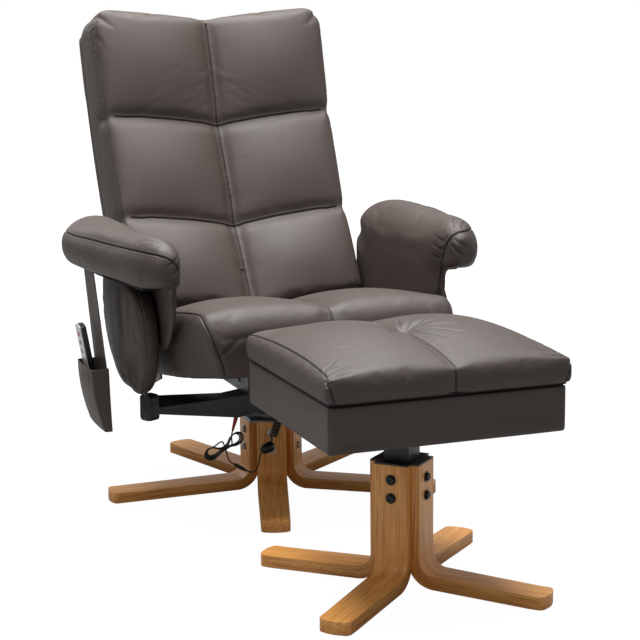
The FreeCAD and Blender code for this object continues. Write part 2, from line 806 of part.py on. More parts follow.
arm_pad = loft([pad_section(r) for r in pad_rows])
board_x = arm_inner + arm_skin + seat_gap
board_nose = -250.0
board_tail = 140.0
board_widths = ((board_nose, 59.0), (20.0, 101.0), (board_tail, 105.0))   # place, outer edge as above
arm_board_plan = [(board_x, board_nose)]
arm_board_plan += [(arm_inner + x, y) for y, x in board_widths]
arm_board_plan += [(board_x, board_tail)]
arm_board = slab([Vec(x, y, arm_board_low) for x, y in arm_board_plan], Vec(0, 0, arm_board_thick))
save("arm_pad_left", arm_pad)
save("arm_pad_right", other_side(arm_pad))
save("arm_boards", Part.makeCompound([arm_board, other_side(arm_board)]))

# Inner skin: a thin padded panel from the pad down beside the seat
skin_edge = 4.0


def skin_outline(x, inset):
    low = arm_inner_low + inset
    top = arm_low - seat_gap
    front = arm_inner_front + inset
    rear = arm_inner_rear - inset
    f_low = Vec(x, front, low + skin_slant_z)
    f_mid = Vec(x, front + skin_slant_y * skin_bow_share, low + skin_slant_z * skin_bow_high_share)
    f_end = Vec(x, front + skin_slant_y, low)
    return Part.Wire([
        line(Vec(x, front, top), f_low), bow(f_low, f_mid, f_end), line(f_end, Vec(x, rear, low)),
        line(Vec(x, rear, low), Vec(x, rear, top)), line(Vec(x, rear, top), Vec(x, front, top))])


skin = loft([skin_outline(arm_inner, skin_edge), skin_outline(arm_inner + skin_edge, 0),
             skin_outline(arm_inner + arm_skin, 0)], True)
save("arm_inner_left", skin)
save("arm_inner_right", other_side(skin))

# Padded leaf over each upright: places along the chair and heights of its outline
leaf_centre_y = -43.0
leaf_centre_z = 372.0
leaf_top = arm_board_low - seat_gap
leaf_top_front = (-90.0, leaf_top)
leaf_shoulder = (-135.0, 464.0)
leaf_front = (-194.0, 405.0)
leaf_belly = (-201.0, 338.0)
leaf_chin = (-177.0, 290.0)
leaf_foot_front = (-127.0, side_low)
leaf_foot_rear = (-40.0, side_low)
leaf_heel = (33.0, 282.0)
leaf_rear = (91.0, 334.0)
leaf_rear_bow = (117.0, 402.0)
leaf_top_rear = (107.0, leaf_top)
leaf_face_share = 0.93    # size of the leaf's two faces beside its middle


def leaf_outline(x, share):
    def at(place):
        y = leaf_centre_y + (place[0] - leaf_centre_y) * share
        z = leaf_centre_z + (place[1] - leaf_centre_z) * share
        return Vec(x, y, min(z, leaf_top))

    return Part.Wire([
        line(at(leaf_top_front), at(leaf_shoulder)),
        bow(at(leaf_shoulder), at(leaf_front), at(leaf_belly)),
        bow(at(leaf_belly), at(leaf_chin), at(leaf_foot_front)),
        line(at(leaf_foot_front), at(leaf_foot_rear)),
        bow(at(leaf_foot_rear), at(leaf_heel), at(leaf_rear)),
        bow(at(leaf_rear), at(leaf_rear_bow), at(leaf_top_rear)),
        line(at(leaf_top_rear), at(leaf_top_front))])


leaf_mid = (side_inner + side_outer) / 2
leaf = loft([leaf_outline(side_inner, leaf_face_share), leaf_outline(leaf_mid, 1),
             leaf_outline(side_outer, leaf_face_share)])
leaf = leaf.cut(upright)
save("arm_side_left", leaf)
save("arm_side_right", other_side(leaf))

# Side pocket: a strap from the right arm's pad, and a bag for the handset
pocket_out = 99.0         # outwards from the arms' inner face, as the next one
strap_out = 108.0
pocket_back_x = -(arm_inner + pocket_out)
pocket_top_x = -(arm_inner + strap_out)
mouth_z = 303.0
# Each row: height, front edge, rear edge, depth of the bag
bag_rows = (
    (303.0, -98.0, 30.0, 41.0),
    (235.0, -104.0, 26.0, 35.0),
    (176.0, -113.0, 18.0, 18.0),
)


def bag_section(row, inset, z):
    y0, y1, out = row[1] + inset, row[2] - inset, pocket_back_x - row[3] + inset
    back = pocket_back_x - inset
    swell = (back - out) * pocket_swell_share
    a, b = Vec(back, y0, z), Vec(back, y1, z)
    c, d = Vec(out + swell, y1, z), Vec(out + swell, y0, z)
    return Part.Wire([line(a, b), line(b, c), bow(c, Vec(out, (y0 + y1) / 2, z), d), line(d, a)])


bag_outer = loft([bag_section(r, 0, r[0]) for r in bag_rows])
bag_inner_heights = (mouth_z + overrun, bag_rows[1][0], bag_rows[2][0] + pocket_wall)
bag_inner = loft([bag_section(r, pocket_wall, z) for r, z in zip(bag_rows, bag_inner_heights)])
strap_low, strap_high = (-80.0, 24.0), (-34.0, 54.0)
strap_points = [Vec(pocket_back_x, strap_low[0], mouth_z), Vec(pocket_back_x, strap_low[1], mouth_z),
                Vec(pocket_top_x, strap_high[1], pad_low), Vec(pocket_top_x, strap_high[0], pad_low)]
strap = Part.Face(Part.makePolygon(strap_points + [strap_points[0]])).extrude(Vec(-pocket_wall, 0, 0))
save("side_pocket", fused([bag_outer.cut(bag_inner), strap]))


# Handset: built upright with its face towards -X, then leaned and set in the pocket
def hand_place(shape):
    placed = about(shape, origin, north, -hand_lean)
    placed.translate(Vec(hand_foot_x, hand_y, hand_foot_z))
    return placed


def hand_outline(x, half, low, high, bulge):
    a, b = Vec(x, -half, low + bulge), Vec(x, half, low + bulge)
    c, d = Vec(x, half, high - bulge), Vec(x, -half, high - bulge)
    return Part.Wire([bow(a, Vec(x, 0, low), b), line(b, c), bow(c, Vec(x, 0, high), d), line(d, a)])


hand_bulge = 5.0
hand_edge = 2.5
hand_half = hand_width / 2
back_face_x = hand_thick / 2
front_face_x = back_face_x - hand_thick + hand_face
hand_body = Part.Face(hand_outline(back_face_x, hand_half, 0, hand_length, hand_bulge))
hand_body = hand_body.extrude(Vec(front_face_x - back_face_x, 0, 0))
hand_back_edges = [e for e in hand_body.Edges if e.BoundBox.XMin > back_face_x - seat_gap]
hand_body = hand_body.makeFillet(hand_edge, hand_back_edges)
hand_plate = Part.Face(hand_outline(front_face_x, hand_half - seat_gap, seat_gap,
                                    hand_length - seat_gap, hand_bulge))
hand_plate = hand_plate.extrude(Vec(-hand_face, 0, 0))
face_x = front_face_x - hand_face
button_names = ("button_power", "button_mode", "button_strength")
for name, height in zip(button_names, button_heights):
    start = Vec(face_x + button_deep, 0, height)
    well = rod(button_radius + run_gap, start + Vec(button_travel + seat_gap, 0, 0), -east,
               button_deep + button_travel + overrun)
    hand_body = hand_body.cut(well)
    hand_plate = hand_plate.cut(well)
    button = rod(button_radius, start, -east, button_deep + button_proud)
    button = button.makeFillet(button_proud / 2, [e for e in button.Edges
                                                  if e.BoundBox.XMax < face_x])
    save(name, hand_place(button))
save("handset_body", hand_place(hand_body))
save("handset_face", hand_place(hand_plate))

# Footstool
stool_leg = bent_leg(stool_legs, stool_reach, stool_post, stool_height, stool_thick,
                     stool_rise_share, stool_pad, stool_bolts)
for number, angle in enumerate(spoke_angles(stool_legs, stool_turn)):
    save("stool_leg_%d" % (number + 1), at_stool(about(stool_leg, origin, up, angle)))

tube_half = stool_post - stool_thick
tube_low = 70.0
plate_low = box_low - mount_thick
stool_bolt_set = [leg_bolt(stool_post, stool_thick + sheet, z) for z in stool_bolts]
save("stool_bolts", at_stool(ring_of(stool_bolt_set, stool_legs, stool_turn)))
tube = regular_prism(stool_legs, tube_half, stool_turn, tube_low, plate_low)
tube = tube.cut(regular_prism(stool_legs, tube_half - sheet, stool_turn,
                              tube_low - overrun, plate_low + overrun))
tube_holes = [rod(bolt_radius + run_gap, Vec(tube_half - 2 * sheet, 0, z), east, 3 * sheet)
              for z in stool_bolts]
tube = tube.cut(ring_of(tube_holes, stool_legs, stool_turn))
save("stool_tube", at_stool(tube))

# Black cover on top of the footstool's legs, in the shape of a plus
cover_arm = block(Vec(-stool_post, -leg_width / 2, stool_height),
                  Vec(stool_post, leg_width / 2, stool_height + sheet))
cover = fused([cover_arm, about(cover_arm, origin, up, 90)])
cover = about(cover, origin, up, stool_turn)
tube_hole = regular_prism(stool_legs, tube_half, stool_turn,
                          stool_height - overrun, stool_height + 2 * overrun)
save("stool_cover_plate", at_stool(cover.cut(tube_hole)))

mount_half = mount_plate / 2
mount = block(Vec(-mount_half, -mount_half, plate_low), Vec(mount_half, mount_half, box_low))
mount = mount.makeFillet(2 * box_corner, [e for e in mount.Edges if e.BoundBox.ZLength > mount_thick / 2])
save("stool_mount_plate", at_stool(mount))


def round_block(half_x, half_y, low, high, corner):
    shape = block(Vec(-half_x, -half_y, low), Vec(half_x, half_y, high))
    return shape.makeFillet(corner, [e for e in shape.Edges if e.BoundBox.ZLength > (high - low) / 2])


half_x, half_y = box_x / 2, box_y / 2
box = round_block(half_x, half_y, box_low, box_top, box_corner)
inside = block(Vec(box_wall - half_x, box_wall - half_y, box_low + box_floor),
               Vec(half_x - box_wall, half_y - box_wall, box_top + overrun))
save("stool_box", at_stool(box.cut(inside)))

# Lid hinge at the side towards the chair: two leaves with a common wire line
wire_y = half_y + hinge_leaf + hinge_wire
wire_z = box_top
leaf_tall = 16.0
knuckle_count = 5
knuckle = hinge_span / knuckle_count
box_leaf = block(Vec(-hinge_span / 2, half_y, wire_z - leaf_tall),
                 Vec(hinge_span / 2, half_y + hinge_leaf, wire_z))
lid_low = box_top + lid_gap
lid_leaf = block(Vec(-hinge_span / 2, half_y, lid_low),
                 Vec(hinge_span / 2, half_y + hinge_leaf, wire_z + leaf_tall))


def knuckles(first, radius):
    return [rod(radius, Vec(-hinge_span / 2 + k * knuckle + seat_gap, wire_y, wire_z), east,
                knuckle - 2 * seat_gap) for k in range(first, knuckle_count, 2)]


def knuckle_webs(first, low, high):
    return [block(Vec(-hinge_span / 2 + k * knuckle + seat_gap, half_y, low),
                  Vec(-hinge_span / 2 + (k + 1) * knuckle - seat_gap, wire_y, high))
            for k in range(first, knuckle_count, 2)]


wire = rod(hinge_wire / 2, Vec(-hinge_span / 2, wire_y, wire_z), east, hinge_span)
bores = rod(hinge_wire / 2 + run_gap, Vec(-hinge_span, wire_y, wire_z), east, 2 * hinge_span)
clear_rings = [rod(hinge_wire + seat_gap, Vec(-hinge_span / 2 + k * knuckle, wire_y, wire_z), east, knuckle)
               for k in range(1, knuckle_count, 2)]
box_side = fused([box_leaf] + knuckles(0, hinge_wire) + knuckle_webs(0, wire_z - hinge_leaf, wire_z))
box_side = fused([box_side.cut(fused(clear_rings)), wire])
lid_rings = [rod(hinge_wire + seat_gap, Vec(-hinge_span / 2 + k * knuckle, wire_y, wire_z), east, knuckle)
             for k in range(0, knuckle_count, 2)]
lid_side = fused([lid_leaf] + knuckles(1, hinge_wire) + knuckle_webs(1, lid_low, lid_low + hinge_leaf))
lid_side = lid_side.cut(fused(lid_rings + [bores]))
save("stool_hinge_leaf", at_stool(box_side))
save("lid_hinge_leaf", at_stool(lid_side))

# Lid: board and cushion
lid_board = round_block(half_x, half_y, lid_low, lid_low + lid_board_thick, box_corner)
save("lid_board", at_stool(lid_board))
lid_half_x = half_x + lid_out_side
lid_front = half_y + lid_out_front
lid_rear = half_y + lid_out_rear
border_low = lid_low + lid_gap
border_swell = 3.0


def lid_profile(x, top, seam, low, inset):
    rear = lid_rear - border_swell - inset
    front = border_swell + inset - lid_front
    rear_low, rear_seam = Vec(x, rear, low), Vec(x, rear, seam)
    front_low, front_seam = Vec(x, front, low), Vec(x, front, seam)
    middle = (low + seam) / 2
    return Part.Wire([
        line(front_low, rear_low), bow(rear_low, Vec(x, rear + border_swell, middle), rear_seam),
        bow(rear_seam, Vec(x, 0, top), front_seam),
        bow(front_seam, Vec(x, front - border_swell, middle), front_low)])


edge_x = lid_half_x - border_swell
lid_edge_rise = 12.0
lid_edge_share = 0.93     # where the lid's crown starts to fall to its ends
lid_edge_crown = lid_seam + lid_edge_rise
lid_parts = [
    loft([lid_profile(0, lid_valley, lid_seam, border_low, 0),
          lid_profile(lid_half_x / 2, lid_crown, lid_seam, border_low, 0),
          lid_profile(edge_x * lid_edge_share, lid_edge_crown, lid_seam, border_low, 0)]),
    loft([lid_profile(edge_x * lid_edge_share, lid_edge_crown, lid_seam, border_low, 0),
          lid_profile(edge_x, lid_seam + border_swell, lid_seam - border_swell, border_low, border_swell),
          lid_profile(lid_half_x, lid_seam - 4 * border_swell, lid_seam - 6 * border_swell,
                      border_low + 3 * border_swell, 4 * border_swell)], True)]
lid_cushion = fused(lid_parts + [other_side(s) for s in lid_parts])
tuft_top = lid_valley
tuft_pit = Vec(0, 0, tuft_top - tuft_deep)
tuft_bend = Vec(tuft_radius * tuft_bend_share, 0, tuft_top - tuft_deep * tuft_rise_share)
tuft_rim = Vec(tuft_radius, 0, tuft_top + tuft_deep * tuft_rim_share)
tuft_above = Vec(0, 0, tuft_top + 2 * tuft_deep)
tuft = Part.Wire([bow(tuft_pit, tuft_bend, tuft_rim), line(tuft_rim, tuft_above),
                  line(tuft_above, tuft_pit)])
tuft = Part.Face(tuft).revolve(origin, up, 360)
lid_cushion = lid_cushion.cut(tuft)
board_room = round_block(half_x, half_y, lid_low - overrun, lid_low + lid_board_thick, box_corner)
leaf_room = block(Vec(-hinge_span / 2 - seat_gap, half_y - overrun, lid_low - overrun),
                  Vec(hinge_span / 2 + seat_gap, half_y + hinge_leaf + seat_gap, wire_z + leaf_tall + seat_gap))
save("lid_cushion", at_stool(lid_cushion.cut(fused([board_room, leaf_room]))))


# Cords
def corner_bow(start, corner, end):
    """The arc that touches both legs of a corner at their far ends."""
    back = start - corner
    ahead = end - corner
    turn = math.pi - back.getAngle(ahead)
    bend = back.Length / math.tan(turn / 2)
    towards = (start + end) / 2 - corner
    return bow(start, corner + towards.normalize() * (bend / math.cos(turn / 2) - bend), end)


def first_way(points):
    return (points[1] - points[0]).normalize()


corner_share = 0.45


def cord_tube(points, radius, name):
    """Straight runs joined by tangent arcs, as large as the runs allow."""
    edges = []
    last = points[0]
    radii = []
    for before, corner, after in zip(points, points[1:], points[2:]):
        back = before - corner
        ahead = after - corner
        trim = corner_share * min(back.Length, ahead.Length)
        radii.append(trim / math.tan((math.pi - back.getAngle(ahead)) / 2))
        start = corner + back.normalize() * trim
        end = corner + ahead.normalize() * trim
        edges += [line(last, start), corner_bow(start, corner, end)]
        last = end
    edges.append(line(last, points[-1]))
    path = Part.Wire(edges)
    ring = Part.Wire(Part.makeCircle(radius, points[0], first_way(points)))
    tube = path.makePipeShell([ring], True, False)
    drift = tube.Volume / (math.pi * radius ** 2 * path.Length) - 1
    print("%s: length %.0f, radii %s, volume off by %.4f" % (
        name, path.Length, " ".join("%.1f" % r for r in radii), drift))
    return tube


straight_enough = 0.0001


def biarc(start, way_in, end, way_out):
    """Two arcs from one point and direction to another, meeting on a common tangent."""
    chord = end - start
    spread = 2 * (1 - way_in.dot(way_out))
    if spread < straight_enough:
        leg = chord.dot(chord) / (4 * chord.dot(way_out))
    else:
        along = chord.dot(way_in + way_out)
        leg = (math.sqrt(along ** 2 + spread * chord.dot(chord)) - along) / spread
    first = start + way_in * leg
    second = end - way_out * leg
    meet = (first + second) / 2
    return [corner_bow(start, first, meet), corner_bow(meet, second, end)]


apart = 7                 # points along the path that count as far from each other


def wound_tube(edges, radius, name):
    """An unbroken tube of many turns, with a flat-sided section of the round one's area."""
    path = Part.Wire(edges)
    start = edges[0].valueAt(edges[0].FirstParameter)
    way = edges[0].tangentAt(edges[0].FirstParameter)
    share = 2 * math.pi / tube_sides
    reach = radius * math.sqrt(share / math.sin(share))
    side = way.cross(north).normalize() * reach
    other = way.cross(side)
    corners = [start + side * math.cos(share * k) + other * math.sin(share * k) for k in range(tube_sides)]
    tube = path.makePipeShell([Part.makePolygon(corners + [corners[0]])], True, False)
    points = []
    for edge in edges:
        steps = max(2, int(2 * edge.Length / radius))
        span = edge.LastParameter - edge.FirstParameter
        points += [edge.valueAt(edge.FirstParameter + span * k / steps) for k in range(steps)]
    gap = min((a - b).Length for k, a in enumerate(points) for b in points[k + apart:]) - 2 * radius
    drift = tube.Volume / (math.pi * radius ** 2 * path.Length) - 1
    print("%s: length %.0f, least gap to itself %.2f, volume off by %.4f" % (name, path.Length, gap, drift))
    return tube


# The plug hangs out of the crossbar's open underside
plug_top_at = (-93.0, -62.0, 184.0)
plug_foot_at = (-109.5, -72.0, 142.0)
plug_top = Vec(*plug_top_at)
plug_foot = Vec(*plug_foot_at)
plug_way = plug_foot - plug_top
plug_length = plug_way.Length
plug_way.normalize()
plug_radius = 4.4
plug_taper = 24.0
plug_reach = 31.4         # up to the crossbar's web
plug_barrel = rod(plug_radius, plug_top, plug_way, plug_length - plug_taper)
plug_shoulder = plug_foot - plug_way * plug_taper
plug_tail = Part.makeCone(plug_radius, plug_radius / 2, plug_taper, plug_shoulder, plug_way)
plug_pin = rod(plug_radius / 2, plug_top - plug_way * plug_reach, plug_way, plug_reach)
save("power_plug", fused([plug_barrel, plug_tail, plug_pin]))

# The hank: a bow of loops tied at its waist, each loop a little smaller and beside the last
knot_at = (-131.5, -90.0, 110.7)
knot = Vec(*knot_at)
hank_slope = math.radians(26)
hank_drop = math.radians(70)
hank_along = Vec(math.cos(hank_slope), 0, math.sin(hank_slope))
hank_across = hank_along.cross(north) * -1
hank_exit = Vec(math.cos(hank_drop), 0, -math.sin(hank_drop))
hank_run = 2 * cord_radius


def lobe_arc(start, centre, end):
    outward = (start - centre + end - centre).normalize()
    return bow(start, centre + outward * (start - centre).Length, end)


def hank_edges():
    droop = math.radians(hank_droop)
    left = -hank_along * math.cos(droop) - hank_across * math.sin(droop)
    right = hank_along * math.cos(droop) - hank_across * math.sin(droop)
    at = knot + hank_across * hank_waist
    way = -hank_along
    edges = [line(at - way * hank_run, at)]
    for half in range(2 * hank_loops - 1):
        loop = half // 2
        to_left = half % 2 == 0
        arm = left if to_left else right
        side = north.cross(arm) if to_left else arm.cross(north)
        side = side if side.dot(at - knot) > 0 else -side
        depth = north * hank_step * loop
        lobe = hank_lobe - hank_narrow * loop
        middle = knot + depth + arm * (hank_reach - hank_shrink * loop - lobe)
        near, away, tip = middle + side * lobe, middle - side * lobe, middle + arm * lobe
        edges += biarc(at, way, near, arm)
        edges += [lobe_arc(near, middle, tip), lobe_arc(tip, middle, away)]
        climb = depth if to_left else depth + north * hank_step
        at = knot + climb - hank_across * hank_waist * (1 if to_left else -1)
        way = hank_along if to_left else -hank_along
        if half == 2 * hank_loops - 2:
            at = at + hank_along * hank_run - hank_across * hank_waist
            way = hank_exit
        edges += biarc(away, -arm, at, way)
    edges.append(line(at, at + way * hank_run))
    return edges, at + way * hank_run


hank_path, hank_end = hank_edges()
hank_start = knot + hank_across * hank_waist + hank_along * hank_run
save("cord_hank", wound_tube(hank_path, cord_radius, "cord_hank"))

# Thin cord from the plug into the hank, and from the hank down to the inline connector
lead_out = 13.0            # straight out of the plug, and straight into the hank
lead_in = 14.0
lead_route = [plug_foot, plug_foot + plug_way * lead_out, hank_start + hank_along * lead_in, hank_start]
save("power_lead", cord_tube(lead_route, cord_radius, "power_lead"))
connector_from = (-113.9, -90.0, 75.4)
connector_to = (-86.9, -90.0, 58.4)
connector_start = Vec(*connector_from)
connector_end = Vec(*connector_to)
connector_way = connector_end - connector_start
connector_length = connector_way.Length
connector_way.normalize()
drop_out = 10.0
drop_in = 9.0
drop_by = (-125.6, -86.5, 87.4)
drop_route = [hank_end, hank_end + hank_exit * drop_out, Vec(*drop_by),
              connector_start - connector_way * drop_in, connector_start]
save("lead_drop", cord_tube(drop_route, cord_radius, "lead_drop"))
connector_radius = 4.0
connector_nose = 7.0
nose_radius = 2.0
barrel = rod(connector_radius, connector_start + connector_way * connector_nose, connector_way,
             connector_length - 2 * connector_nose)
nose_in = Part.makeCone(nose_radius, connector_radius, connector_nose, connector_start, connector_way)
nose_out = Part.makeCone(connector_radius, nose_radius, connector_nose,
                         connector_end - connector_way * connector_nose, connector_way)
save("inline_connector", fused([barrel, nose_in, nose_out]))

# The curly cord, from the rounded plug up to the grommet under the seat
curl_foot_at = (-34.0, -100.0, 116.0)
curl_foot = Vec(*curl_foot_at)
curl_head = seat_point(grommet_x, grommet_t, -seat_thick - grommet_deep)


def curl_edges():
    axis = curl_head - curl_foot
    length = axis.Length
    axis.normalize()
    side = axis.cross(north).normalize()
    other = axis.cross(side)
    mean = curl_radius - curl_wire
    lead = (length - curl_count * curl_pitch) / 2
    run = 2 * curl_wire

    def at(turns):
        angle = 2 * math.pi * turns
        middle = curl_foot + axis * (lead + curl_pitch * turns)
        return middle + side * mean * math.cos(angle) + other * mean * math.sin(angle)

    def way(turns):
        angle = 2 * math.pi * turns
        around = other * math.cos(angle) - side * math.sin(angle)
        return (around * 2 * math.pi * mean + axis * curl_pitch).normalize()

    edges = [line(curl_foot, curl_foot + axis * run)] + biarc(curl_foot + axis * run, axis, at(0), way(0))
    for half in range(2 * curl_count):
        edges += biarc(at(half / 2), way(half / 2), at((half + 1) / 2), way((half + 1) / 2))
    edges += biarc(at(curl_count), way(curl_count), curl_head - axis * run, axis)
    edges.append(line(curl_head - axis * run, curl_head))
    return edges


save("curly_cord", wound_tube(curl_edges(), curl_wire, "curly_cord"))

# Its plug: a rounded boot that the thin cord enters from below, at its far end
boot_radius = 11.5
boot_reach = 11.0
boot_way = Vec(-0.95, 0, -0.3).normalize()
boot_small_share = 0.9
boot_near = curl_foot - (curl_head - curl_foot).normalize() * boot_radius * boot_small_share
boot_far = boot_near + boot_way * boot_reach
boot_small = boot_radius * boot_small_share
boot_start = boot_near - boot_way * boot_radius
boot_side = boot_way.cross(north).normalize()
boot_outline = [
    bow(boot_start, boot_near + (boot_side - boot_way) * boot_radius * half_root,
        boot_near + boot_side * boot_radius),
    line(boot_near + boot_side * boot_radius, boot_far + boot_side * boot_small),
    bow(boot_far + boot_side * boot_small, boot_far + (boot_side + boot_way) * boot_small * half_root,
        boot_far + boot_way * boot_small),
    line(boot_far + boot_way * boot_small, boot_start)]
boot = Part.Face(Part.Wire(boot_outline)).revolve(boot_near, boot_way, 360)
save("curl_plug", boot)
port_way = Vec(-0.8, 0, -0.6)
port_share = 0.7          # of the boot's radius, where the thin cord goes in
boot_port = boot_far + port_way * boot_radius * port_share
loop_out = 10.5
loop_by = (
    (-68.6, -93.2, 56.0),
    (-63.6, -96.0, 65.0),
    (-60.8, -98.5, 75.5),
    (-60.0, -99.3, 87.0),
)
loop_route = [connector_end, connector_end + connector_way * loop_out]
loop_route += [Vec(*place) for place in loop_by] + [boot_port]
save("lead_loop", cord_tube(loop_route, cord_radius, "lead_loop"))
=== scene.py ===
# %% [markdown]
# # A reclining massage chair and its footstool
# The solids of this chair come from a CAD model. Here they are dressed in leather, wood, steel and cord.
# All lengths are metres, the floor is at z = 0, the chair faces -Y, and the sitter's right hand is at -X.

# %% Load the solids
import math

import bpy
import numpy as np
from mathutils import Matrix, Vector
from mathutils.bvhtree import BVHTree


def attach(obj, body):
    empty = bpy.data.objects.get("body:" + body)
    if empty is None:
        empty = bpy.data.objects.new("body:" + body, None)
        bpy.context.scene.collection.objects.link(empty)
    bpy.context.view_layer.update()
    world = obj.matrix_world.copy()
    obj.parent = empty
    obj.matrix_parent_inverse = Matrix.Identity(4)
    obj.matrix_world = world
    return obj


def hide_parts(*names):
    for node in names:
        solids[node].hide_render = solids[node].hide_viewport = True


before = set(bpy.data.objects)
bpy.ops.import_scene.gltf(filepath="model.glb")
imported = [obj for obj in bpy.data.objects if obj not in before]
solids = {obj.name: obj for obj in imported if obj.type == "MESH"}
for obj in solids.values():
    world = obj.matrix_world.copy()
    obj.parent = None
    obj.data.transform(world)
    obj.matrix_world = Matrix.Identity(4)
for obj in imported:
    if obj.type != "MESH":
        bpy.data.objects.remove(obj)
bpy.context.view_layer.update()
scene = bpy.context.scene

# %% [markdown]
# ## Camera
# The photograph was taken a little above the arms, from the chair's front right corner, with a long lens.
# A long lens keeps the legs nearly parallel. The place and the three angles are written down as numbers,
# which is exact, where a camera that tracks an empty would drift when the empty is moved.

# %% Place the camera
CAMERA_AT = (-1.12645, -3.30612, 1.00761)
CAMERA_YAW, CAMERA_PITCH, CAMERA_ROLL = (math.radians(a) for a in (-20.595, 10.564, -0.592))
FOCAL_PIXELS, FRAME_PIXELS, SENSOR, FARTHEST = 1664.09, 640, 36.0, 50

ahead = Vector((-math.sin(CAMERA_YAW) * math.cos(CAMERA_PITCH),
                math.cos(CAMERA_YAW) * math.cos(CAMERA_PITCH), -math.sin(CAMERA_PITCH)))
level = Vector((math.cos(CAMERA_YAW), math.sin(CAMERA_YAW), 0))
above = level.cross(ahead)
right = level * math.cos(CAMERA_ROLL) + above * math.sin(CAMERA_ROLL)
upward = above * math.cos(CAMERA_ROLL) - level * math.sin(CAMERA_ROLL)
camera = bpy.data.objects.new("camera", bpy.data.cameras.new("camera"))
scene.collection.objects.link(camera)
camera.matrix_world = Matrix.Translation(CAMERA_AT) @ Matrix((right, upward, -ahead)).transposed().to_4x4()
camera.data.sensor_width = SENSOR
camera.data.lens = FOCAL_PIXELS * SENSOR / FRAME_PIXELS
camera.data.clip_end = FARTHEST
scene.camera = camera
scene.view_settings.view_transform = "Standard"
print("lens", round(camera.data.lens, 1), "mm")

# %% [markdown]
# ## Nodes in few words
# Every finish below is a small node tree. One helper adds a node, sets its fields and joins its sockets,
# so that a material reads as a list of what it is made of.


# %% Helpers for node trees
WHITE = (1, 1, 1, 1)


def srgb(red, green, blue):
    """A colour as it is seen on a screen, turned to the linear numbers that Blender works in."""
    def linear(c):
        c /= 255
        return c / 12.92 if c <= 0.04045 else ((c + 0.055) / 1.055) ** 2.4
    return (linear(red), linear(green), linear(blue), 1.0)


def fill_sockets(tree, node, sockets):
    """Each socket gets a link or a plain value."""
    for key, value in sockets.items():
        if isinstance(value, bpy.types.NodeSocket):
            tree.links.new(value, node.inputs[key])
        else:
            node.inputs[key].default_value = value
    return node


def add(tree, kind, sockets=None, **fields):
    node = tree.nodes.new("ShaderNode" + kind)
    for key, value in fields.items():
        setattr(node, key, value)
    return fill_sockets(tree, node, sockets or {})


def worked(tree, operation, first, second=0.5):
    """The result of one Math node."""
    return add(tree, "Math", {0: first, 1: second}, operation=operation).outputs[0]


def mixed(tree, share, first, second):
    """A colour between two others."""
    return add(tree, "Mix", {0: share, 6: first, 7: second}, data_type="RGBA").outputs[2]


def scaled(tree, value, low, high, to_low, to_high):
    sockets = {"Value": value, "From Min": low, "From Max": high, "To Min": to_low, "To Max": to_high}
    return add(tree, "MapRange", sockets).outputs[0]


def bumped(tree, strength, distance, height):
    return add(tree, "Bump", {"Strength": strength, "Distance": distance, "Height": height}).outputs[0]


def new_group(name, inputs, outputs):
    tree = bpy.data.node_groups.new(name, "ShaderNodeTree")
    for label, kind, value in inputs:
        socket = tree.interface.new_socket(label, in_out="INPUT", socket_type="NodeSocket" + kind)
        if value is not None:
            socket.default_value = value
    for label, kind in outputs:
        tree.interface.new_socket(label, in_out="OUTPUT", socket_type="NodeSocket" + kind)
    return tree, tree.nodes.new("NodeGroupInput"), tree.nodes.new("NodeGroupOutput")


def place_group(tree, group, sockets):
    node = tree.nodes.new("ShaderNodeGroup")
    node.node_tree = group
    return fill_sockets(tree, node, sockets)


def new_material(name, **shader):
    material = bpy.data.materials.new(name)
    material.use_nodes = True
    principled = material.node_tree.nodes["Principled BSDF"]
    for key, value in shader.items():
        principled.inputs[key.replace("_", " ")].default_value = value
    return material, material.node_tree, principled


print("node helpers ready")

# %% [markdown]
# ## Light and floor
# A product photograph like this one has a white ground and broad soft light from the front and above.
# The white comes from what the camera sees, by way of Light Path, and not from more light on the chair,
# so the leather keeps its own depth of colour.

# %% World
AMBIENT, SKY_IN_GLOSS = 0.15, 0.35
world = bpy.data.worlds.new("studio")
scene.world = world
world.use_nodes = True
sky = world.node_tree
path = add(sky, "LightPath")
seen = worked(sky, "MAXIMUM", path.outputs["Is Camera Ray"], path.outputs["Is Transmission Ray"])
glossy = worked(sky, "MULTIPLY", path.outputs["Is Glossy Ray"], SKY_IN_GLOSS)
lit = fill_sockets(sky, sky.nodes["Background"], {"Color": WHITE, "Strength": AMBIENT})
shown = add(sky, "Background", {"Color": WHITE, "Strength": 1.0})
sky_share = worked(sky, "MAXIMUM", seen, glossy)
sky_mix = add(sky, "MixShader", {0: sky_share, 1: lit.outputs[0], 2: shown.outputs[0]})
sky.links.new(sky_mix.outputs[0], sky.nodes["World Output"].inputs["Surface"])
print("world ready")


# %% Lamps
def area_lamp(name, place, target, size, watts):
    lamp = bpy.data.objects.new(name, bpy.data.lights.new(name, "AREA"))
    lamp.data.shape = "SQUARE"
    lamp.data.size = size
    lamp.data.energy = watts
    lamp.location = place
    lamp.rotation_euler = (Vector(target) - Vector(place)).to_track_quat("-Z", "Y").to_euler()
    scene.collection.objects.link(lamp)


middle = (0, -0.3, 0.5)
area_lamp("key", (-2.4, -2.6, 3.6), middle, 2.2, 24)
area_lamp("fill", (3.4, -2.4, 1.9), middle, 2.4, 7)
area_lamp("top", (0.0, 0.15, 3.3), middle, 2.6, 225)
area_lamp("rear", (-1.6, 3.2, 2.4), middle, 2.0, 24)
print("lamps ready")

